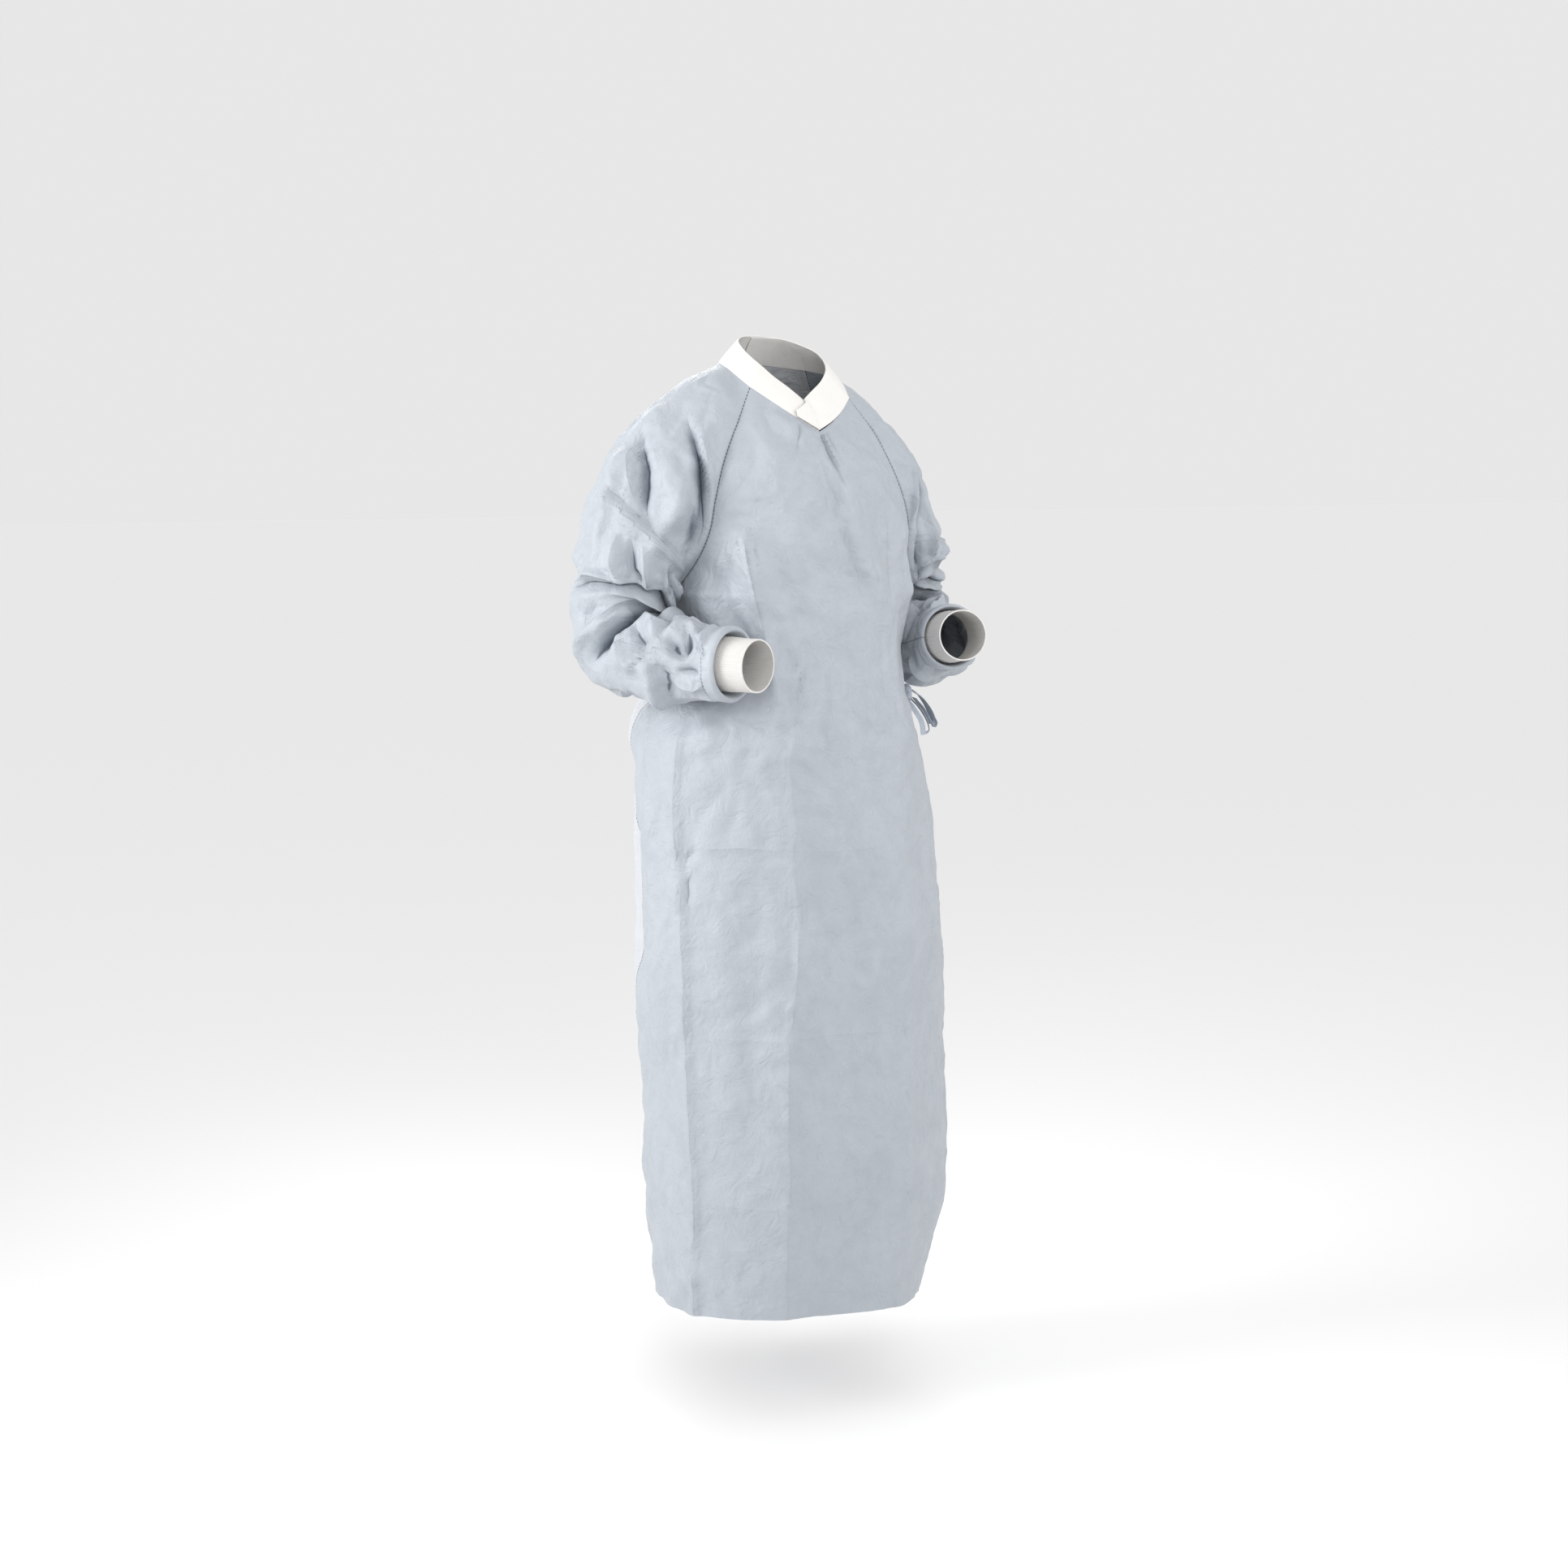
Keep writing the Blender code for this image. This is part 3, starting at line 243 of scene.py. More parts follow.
RINGS_LEFT = (
    (0.2185, -0.050, 0.297, 66.0, 12.0, 0.0, 0.0455, 0.069),
    (0.2160, -0.058, 0.327, 72.0, 24.0, 0.0, 0.054, 0.067),
    (0.2150, -0.040, 0.362, 88.0, 46.0, 0.0, 0.055, 0.066),
    (0.2120, -0.002, 0.373, 90.0, 74.0, 2.0, 0.052, 0.056),
    (0.2080, 0.046, 0.373, 90.0, 92.0, 5.0, 0.048, 0.050),
    (0.2020, 0.090, 0.365, 90.0, 97.0, 8.0, 0.045, 0.046),
    (0.1980, 0.116, 0.360, 90.0, 97.0, 8.0, 0.045, 0.046),
)

# The sleeve's end turns in over a lip and runs back to the knitted cuff.
LIP_COLUMNS = ("ahead", "inward")
LIP = ((0.004, 0.25), (0.001, 0.60), (-0.022, 1.00))
CUFF_SOCKET = 0.0378  # radius of the sleeve's cloth round the cuff
CUFF_COLUMNS = ("ahead", "radius")
CUFF = ((-0.0215, 0.0355), (0.000, 0.0355), (0.022, 0.0345), (0.044, 0.0345))

# Broad folds of the body: a line from (angle, drop) to (angle, drop), how wide the fold is
# on each side of it and how far it stands out.
FOLD_COLUMNS = ("angle_a", "drop_a", "angle_b", "drop_b", "wide", "depth")
BODY_FOLDS = (
    (-41.0, 0.640, -40.0, 1.120, 0.040, -0.0050),
    (2.0, 0.560, 1.0, 1.250, 0.050, -0.0045),
    (48.0, 0.520, 46.0, 1.240, 0.045, -0.0045),
    (-86.0, 0.470, -80.0, 0.980, 0.040, 0.0075),
    (-104.0, 0.560, -100.0, 0.860, 0.030, -0.0070),
    (-118.0, 0.360, -118.0, 0.540, 0.060, 0.0160),
    (98.0, 0.460, 92.0, 1.050, 0.040, 0.0075),
    (128.0, 0.430, 124.0, 1.200, 0.040, -0.0080),
    (150.0, 0.400, 146.0, 1.240, 0.045, 0.0080),
    (-128.0, 0.430, -122.0, 1.200, 0.040, -0.0080),
    (-150.0, 0.400, -144.0, 1.240, 0.045, 0.0085),
    (178.0, 0.380, 179.0, 1.250, 0.050, -0.0060),
    (-178.0, 0.380, -179.0, 1.250, 0.050, -0.0060),
    (8.0, 0.100, 25.0, 0.330, 0.024, 0.0070),
    (-8.0, 0.110, 6.0, 0.300, 0.020, -0.0050),
    (-50.0, 0.190, -34.0, 0.330, 0.030, 0.0110),
    (-66.0, 0.240, -42.0, 0.400, 0.026, -0.0090),
    (-24.0, 0.330, -30.0, 0.420, 0.024, 0.0070),
)

# Broad folds of the sleeves, from (place, angle) to (place, angle). Place 0 is the neck, 1 the
# armhole's lowest point and each whole number past it one ring. Angle 0 is the outside of
# the arm, 90 the crook, 180 the inside and -90 the elbow.
SLEEVE_FOLD_COLUMNS = ("place_a", "angle_a", "place_b", "angle_b", "wide", "depth")
RIGHT_FOLDS = (
    (0.30, 60.0, 1.40, 88.0, 0.016, 0.0100),
    (0.60, 8.0, 2.20, 36.0, 0.018, 0.0090),
    (1.90, 0.0, 2.60, 90.0, 0.018, 0.0100),
    (4.00, -30.0, 4.20, 95.0, 0.016, 0.0080),
    (5.60, -60.0, 5.40, 60.0, 0.014, 0.0070),
    (1.00, -140.0, 2.20, -60.0, 0.022, -0.0100),
    (0.50, -60.0, 1.80, -30.0, 0.022, -0.0080),
    (4.60, -160.0, 5.00, -40.0, 0.016, -0.0070),
)
LEFT_FOLDS = (
    (0.35, 55.0, 1.50, 86.0, 0.016, 0.0090),
    (0.55, 28.0, 1.90, 52.0, 0.017, -0.0100),
    (1.80, 0.0, 2.50, 90.0, 0.018, 0.0090),
    (4.00, -30.0, 4.20, 95.0, 0.016, 0.0075),
    (5.00, -10.0, 4.90, 110.0, 0.012, -0.0070),
    (5.80, -60.0, 5.60, 60.0, 0.014, 0.0065),
    (1.00, -130.0, 2.20, -60.0, 0.022, -0.0095),
    (0.50, -60.0, 1.80, -30.0, 0.022, -0.0075),
)

# The waist tie: its strap round the left side, and the bow that it ends in.
TIE_CLEAR = 0.0036  # from the body's cloth to the strap's middle
STRAP_COLUMNS = ("angle", "drop", "width")
STRAP = (
    (75.0, 0.4460, 0.012),
    (82.0, 0.4460, 0.020),
    (92.0, 0.4450, 0.027),
    (120.0, 0.4430, 0.028),
    (157.0, 0.4400, 0.028),
)
KNOT = (0.1644, 0.0482, 0.4440)  # out, ahead and drop of its middle
KNOT_SIZE = (0.0085, 0.0130, 0.0130)  # half sizes

# Each ribbon of the bow: a row of middles (out, ahead, drop), its width and which way the
# width runs.
RIBBONS = {
    "tie_loop_upper": (
        ((0.1734, 0.0496, 0.44), (0.1836, 0.0508, 0.446), (0.1965, 0.051, 0.46),
         (0.206, 0.05, 0.476), (0.21, 0.049, 0.487), (0.2075, 0.0485, 0.491),
         (0.203, 0.0485, 0.486), (0.196, 0.049, 0.476), (0.187, 0.0495, 0.462),
         (0.1768, 0.049, 0.4505)),
        0.016,
        (0.3, 0.75, 0.45),
    ),
    "tie_loop_lower": (
        ((0.1694, 0.0558, 0.4518), (0.1765, 0.064, 0.4625), (0.184, 0.069, 0.476),
         (0.189, 0.071, 0.489), (0.1895, 0.0715, 0.496), (0.185, 0.0715, 0.498),
         (0.1805, 0.071, 0.491), (0.176, 0.068, 0.478), (0.168, 0.06, 0.4615)),
        0.014,
        (0.45, -0.75, 0.3),
    ),
    "tie_tail_front": (
        ((0.159, 0.0604, 0.4518), (0.1625, 0.0755, 0.4645), (0.17, 0.084, 0.482),
         (0.1715, 0.087, 0.5)),
        0.013,
        (0.85, -0.45, 0.0),
    ),
    "tie_tail_back": (
        ((0.168, 0.0332, 0.448), (0.1745, 0.0235, 0.462), (0.183, 0.019, 0.486),
         (0.1905, 0.017, 0.52), (0.196, 0.0165, 0.56)),
        0.022,
        (-0.25, 1.0, 0.1),
    ),
}

# The camera: how far round the gown it stands, from where and what it is aimed at.
CAMERA_TURN = -27.0
CAMERA_DISTANCE = 3.6
CAMERA_HEIGHT = -0.087
CAMERA_AIM = (0.0, 0.0, -0.570)
CAMERA_LENS = 58.85
CAMERA_SENSOR = 36.0
CAMERA_SHIFT = -4 / 1932

# The stage: the floor, the point that the lights are aimed at, and the lights, each with
# the property that holds its power, its share of that, its place, its size and its spread.
FLOOR_REACH = 40.0
FLOOR_PAINT = (0.84, 0.84, 0.84)
FLOOR_GLOW = 0.155  # share of the surround's strength; it hides the floor's far edge
CHEST = (0.0, 0.0, -0.3)
LIGHTS = (
    ("key light", "key", 1.0, (-3.0, 0.5, 0.2), 1.6, 80),
    ("front light", "fill", 1.0, (-0.8, -2.6, 0.9), 1.6, 60),
    ("side light", "fill", 1.7, (1.9, -2.3, 0.5), 1.8, 90),
    ("back light", "fill", 1.0, (0.8, 2.8, 0.9), 1.6, 60),
)

# The finishes: the property that holds the colour, roughness, how mottled it is, relief of
# its fibres in metres, sheen, and how it is made up.
FINISHES = {
    "gown cloth": ("gown", 0.56, 0.040, 0.00046, 0.12, "sewn"),
    "back cloth": ("back", 0.60, 0.035, 0.00046, 0.10, "sewn"),
    "tie cloth": ("tie", 0.52, 0.050, 0.00030, 0.10, "plain"),
    "neck band cloth": ("band", 0.66, 0.015, 0.00012, 0.0, "plain"),
    "cuff knit": ("knit", 0.80, 0.030, 0.00040, 0.0, "knitted"),
}
THREAD_SHOWN = 0.85  # how far a stitch covers the cloth's tone
GROOVE = 0.0006  # depth of a seam's groove
HOLLOW_SHADE_LIFTS = (-0.0045, -0.0165)  # lifts at which painted shade starts to darken a fold, and is darkest
# Painted shade: darker tints that the cloth's tone is multiplied by deep in folds and along
# sharp troughs.
HOLLOW_SHADE_TINT = (0.44, 0.475, 0.52)
CREVICE_SHADE_TINT = (0.34, 0.365, 0.40)
SHARP_EDGE = 84.0  # angle between two faces from which their edge isn't smoothed

# Each piece: the solid that it stands for, its finish, how it is held, and the flat size
# and the area of its cut.
SEWN = {
    "gown_front": ("front_panel", "gown cloth", "hung", (0.83, 1.39), 0.85),
    "gown_back_right": ("back_panel_right", "back cloth", "hung", (0.405, 1.462), 0.415),
    "gown_back_left": ("back_panel_left", "back cloth", "hung", (0.305, 1.426), 0.347),
    "gown_sleeve_right": ("sleeve_right", "gown cloth", "draped", (0.453, 0.818), 0.226),
    "gown_sleeve_left": ("sleeve_left", "gown cloth", "draped", (0.391, 0.739), 0.174),
    "gown_band_right": ("neck_band_right", "neck band cloth", "draped", (0.356, 0.054), 0.0124),
    "gown_band_left": ("neck_band_left", "neck band cloth", "draped", (0.352, 0.054), 0.0129),
    "gown_cuff_right": ("cuff_right", "cuff knit", "stretched", (0.222, 0.066), 0.0144),
    "gown_cuff_left": ("cuff_left", "cuff knit", "stretched", (0.222, 0.066), 0.0144),
    "gown_tie_strap": ("tie_strap", "tie cloth", "laid", (0.239, 0.029), 0.0063),
    "gown_tie_knot": ("tie_knot", "tie cloth", None, None, None),
    "gown_tie_loop_upper": ("tie_loop_upper", "tie cloth", "hung", (0.016, 0.128), 0.0019),
    "gown_tie_loop_lower": ("tie_loop_lower", "tie cloth", "hung", (0.014, 0.101), 0.0014),
    "gown_tie_tail_front": ("tie_tail_front", "tie cloth", "hung", (0.013, 0.061), 0.00078),
    "gown_tie_tail_back": ("tie_tail_back", "tie cloth", "hung", (0.022, 0.126), 0.0026),
}

# Creases of the body: a path of (angle, drop), how wide the crease is to the right and to
# the left of one who walks along it, how far it stands out, and how round it is: 1 is a
# sharp crest and 2 a soft one.
CREASE_COLUMNS = ("path", "right", "left", "depth", "round")
BODY_CREASES = (
    # Long packing folds down the skirt.
    (((-70, 0.465), (-71, 0.587), (-68.5, 0.7), (-66.3, 0.811), (-65.7, 0.93), (-65.5, 1.039),
      (-64.0, 1.153), (-67.5, 1.23), (-68.5, 1.4)), 0.055, 0.016, 0.0085, 1.0),
    (((-24.2, 0.465), (-24.8, 0.56), (-22.4, 0.6), (-24.6, 0.64), (-22.4, 0.747),
      (-23.3, 0.833), (-26.1, 0.901), (-26.4, 0.981), (-25.6, 1.1), (-26.8, 1.171),
      (-26.4, 1.4)), 0.06, 0.024, 0.007, 1.0),
    (((32.5, 0.5), (28.0, 0.707), (26.4, 0.909), (29.5, 1.1), (32.7, 1.4)),
     0.05, 0.03, 0.005, 1.3),
    (((70, 0.47), (68, 0.7), (71, 0.93), (67, 1.17), (68, 1.4)), 0.03, 0.055, 0.007, 1.0),
    (((152, 0.4), (149, 0.62), (151, 0.84), (147, 1.1), (148, 1.4)), 0.05, 0.026, 0.0065, 1.0),
    (((-151, 0.42), (-147, 0.66), (-150, 0.88), (-145, 1.12), (-147, 1.4)),
     0.026, 0.05, 0.007, 1.0),
    # Packing folds across.
    (((-64, 0.636), (-45, 0.631), (-25, 0.637)), 0.016, 0.016, 0.0026, 1.0),
    (((-25, 0.637), (0, 0.641), (22, 0.638)), 0.014, 0.02, 0.0012, 1.0),
    (((-60, 0.893), (-35, 0.897), (-10, 0.892), (24, 0.897)), 0.018, 0.014, 0.0014, 1.0),
    (((-62, 1.128), (-30, 1.133), (5, 1.129), (28, 1.134)), 0.016, 0.016, 0.0013, 1.0),
    (((76, 0.64), (110, 0.634), (145, 0.641)), 0.015, 0.018, 0.0018, 1.0),
    (((80, 0.899), (115, 0.892), (150, 0.897)), 0.018, 0.015, 0.0015, 1.0),
    (((74, 1.131), (108, 1.136), (146, 1.129)), 0.016, 0.016, 0.0014, 1.0),
    (((-112, 0.64), (-130, 0.634), (-175, 0.641)), 0.015, 0.018, 0.0018, 1.0),
    (((-110, 0.899), (-135, 0.893), (-178, 0.899)), 0.018, 0.015, 0.0015, 1.0),
    (((-112, 1.131), (-140, 1.135), (-179, 1.129)), 0.016, 0.016, 0.0014, 1.0),
    # A narrow facet beside the middle fold, and short kinks on and near the long ones.
    (((-25.5, 0.642), (-21.5, 0.7), (-20.4, 0.755)), 0.012, 0.01, 0.0034, 1.0),
    (((-69.0, 0.69), (-66.5, 0.65), (-60.0, 0.63)), 0.006, 0.01, -0.0032, 1.0),
    (((-66.0, 0.655), (-65.5, 0.7), (-67.0, 0.735)), 0.004, 0.007, -0.0036, 1.0),
    (((-96, 0.47), (-91, 0.51), (-88, 0.545)), 0.012, 0.02, 0.0036, 1.0),
    (((26.4, 0.89), (29.0, 0.915)), 0.006, 0.006, -0.0022, 1.0),
    (((28.0, 0.985), (30.5, 1.0)), 0.006, 0.006, -0.002, 1.0),
    (((30.0, 1.13), (33.0, 1.15)), 0.006, 0.006, -0.002, 1.0),
    (((-64.5, 1.19), (-68.5, 1.24)), 0.01, 0.006, -0.003, 1.0),
    # Under the tip of the neck band.
    (((0.2, 0.06), (2.6, 0.09), (4.6, 0.112), (7.6, 0.15)), 0.01, 0.015, -0.0075, 1.0),
    (((4.5, 0.12), (7.0, 0.15), (8.9, 0.185), (11.9, 0.238), (19.0, 0.29)),
     0.014, 0.03, 0.0036, 1.2),
    (((-9.0, 0.09), (-5.5, 0.12), (-0.9, 0.16), (6.0, 0.25), (9.0, 0.32)),
     0.02, 0.015, -0.0038, 1.6),
    (((5.0, 0.058), (7.5, 0.086), (11.5, 0.116)), 0.008, 0.01, -0.0024, 1.1),
    (((-17.4, 0.054), (-17.8, 0.076), (-21.0, 0.104)), 0.006, 0.009, -0.0026, 1.0),
    (((-19.5, 0.09), (-24.0, 0.112), (-30.0, 0.14)), 0.016, 0.012, -0.0026, 1.5),
    (((35.5, 0.065), (45.7, 0.091), (52.0, 0.12)), 0.014, 0.01, 0.0022, 1.3),
    (((20.0, 0.085), (33.0, 0.12), (44.0, 0.175), (48.0, 0.225)), 0.02, 0.014, 0.003, 1.4),
    (((33.7, 0.18), (33.0, 0.24), (33.6, 0.31)), 0.008, 0.014, -0.0026, 1.0),
    (((17.0, 0.24), (22.0, 0.29)), 0.007, 0.01, -0.002, 1.0),
    (((48.0, 0.2), (52.0, 0.28), (55.0, 0.38)), 0.016, 0.022, 0.004, 1.3),
    # The raised facet of the wearer's right breast and the small creases at its top.
    (((-46.5, 0.2), (-45.2, 0.218), (-42.6, 0.246), (-40.5, 0.283), (-36.0, 0.35),
      (-31.0, 0.44)), 0.062, 0.03, 0.0195, 1.0),
    (((-45.8, 0.208), (-49.0, 0.224), (-51.5, 0.24), (-54.5, 0.236), (-57.4, 0.216)),
     0.016, 0.011, 0.0046, 1.0),
    (((-57.4, 0.219), (-60.0, 0.255), (-67.0, 0.3)), 0.016, 0.012, 0.005, 1.0),
    (((-51.5, 0.238), (-55.0, 0.27), (-60.0, 0.31)), 0.012, 0.012, -0.004, 1.2),
    (((-66.0, 0.295), (-58.0, 0.315), (-50.0, 0.335), (-42.0, 0.37)),
     0.02, 0.014, -0.004, 1.4),
    (((-41.0, 0.215), (-38.5, 0.265)), 0.009, 0.009, 0.0022, 1.1),
    (((-62.0, 0.33), (-54.0, 0.365), (-46.0, 0.39)), 0.014, 0.01, 0.004, 1.0),
    (((-74.0, 0.33), (-66.0, 0.375), (-57.0, 0.415)), 0.014, 0.012, 0.0045, 1.0),
    # Gathers of the waist, where the forearm holds the cloth in.
    (((-31.5, 0.372), (-30.0, 0.41), (-31.5, 0.462)), 0.008, 0.007, 0.0026, 1.0),
    (((-25.5, 0.35), (-22.5, 0.38), (-24.0, 0.405)), 0.007, 0.008, 0.0026, 1.0),
    (((-20.0, 0.385), (-21.5, 0.412), (-24.0, 0.452)), 0.007, 0.007, -0.0024, 1.0),
    (((-12.5, 0.42), (-19.5, 0.447), (-23.0, 0.5)), 0.008, 0.008, 0.002, 1.0),
    (((-38.0, 0.44), (-28.0, 0.449), (-15.0, 0.455)), 0.007, 0.007, -0.0022, 1.0),
    (((-36.0, 0.482), (-27.0, 0.455), (-17.5, 0.405)), 0.008, 0.009, 0.0024, 1.0),
    (((-20.0, 0.468), (-26.0, 0.505), (-25.0, 0.56)), 0.008, 0.008, 0.0022, 1.0),
    (((-50.0, 0.452), (-40.0, 0.47), (-28.0, 0.48)), 0.008, 0.009, -0.0018, 1.0),
    (((-9.0, 0.385), (-5.0, 0.43), (-8.0, 0.52)), 0.011, 0.014, 0.0024, 1.2),
    (((1.0, 0.35), (6.0, 0.415), (1.0, 0.48)), 0.012, 0.016, -0.0026, 1.2),
    (((12.0, 0.37), (16.0, 0.43), (13.0, 0.53)), 0.016, 0.012, 0.003, 1.2),
    (((27.0, 0.34), (26.0, 0.42), (31.0, 0.5)), 0.017, 0.012, -0.003, 1.2),
    (((40.0, 0.33), (38.0, 0.41), (42.0, 0.52)), 0.014, 0.016, 0.004, 1.2),
    (((54.0, 0.38), (58.0, 0.44), (60.0, 0.54)), 0.012, 0.012, 0.005, 1.1),
    # The sides and the back, gathered in by the tie.
    (((84.0, 0.46), (86.0, 0.52), (84.0, 0.61)), 0.01, 0.012, 0.0055, 1.0),
    (((99.0, 0.462), (98.0, 0.53), (101.0, 0.64)), 0.01, 0.012, 0.005, 1.0),
    (((113.0, 0.462), (115.0, 0.52), (113.0, 0.6)), 0.01, 0.01, 0.005, 1.0),
    (((131.0, 0.462), (129.0, 0.54), (132.0, 0.66)), 0.012, 0.01, 0.0055, 1.0),
    (((143.0, 0.462), (146.0, 0.53), (143.0, 0.61)), 0.01, 0.01, 0.0045, 1.0),
    (((95.0, 0.34), (97.0, 0.385), (95.0, 0.428)), 0.009, 0.01, 0.004, 1.0),
    (((118.0, 0.33), (121.0, 0.38), (119.0, 0.428)), 0.01, 0.01, 0.0045, 1.0),
    (((138.0, 0.32), (136.0, 0.375), (139.0, 0.428)), 0.01, 0.01, 0.0045, 1.0),
    (((165.0, 0.36), (166.0, 0.42), (163.0, 0.5)), 0.012, 0.01, 0.0045, 1.0),
    (((-164.0, 0.35), (-162.0, 0.43), (-165.0, 0.52)), 0.01, 0.012, 0.005, 1.0),
    (((-138.0, 0.34), (-136.0, 0.43), (-139.0, 0.56)), 0.012, 0.014, 0.006, 1.0),
    (((-121.0, 0.34), (-120.0, 0.43), (-124.0, 0.54)), 0.01, 0.012, 0.005, 1.0),
    (((-105.0, 0.35), (-100.0, 0.42), (-103.0, 0.5)), 0.012, 0.01, 0.005, 1.0),
    # Drawn across the shoulder blades towards the armholes.
    (((-118.0, 0.19), (-140.0, 0.15), (-165.0, 0.14)), 0.022, 0.012, 0.005, 1.2),
    (((-112.0, 0.25), (-135.0, 0.235), (-160.0, 0.26)), 0.012, 0.024, 0.005, 1.2),
    (((118.0, 0.2), (140.0, 0.165), (162.0, 0.16)), 0.012, 0.022, 0.005, 1.2),
    (((110.0, 0.262), (133.0, 0.25), (158.0, 0.28)), 0.024, 0.012, 0.005, 1.2),
    (((150.0, 0.06), (154.0, 0.18), (158.0, 0.3)), 0.02, 0.02, -0.004, 1.5),
    (((-150.0, 0.05), (-155.0, 0.18), (-158.0, 0.3)), 0.02, 0.02, -0.004, 1.5),
)

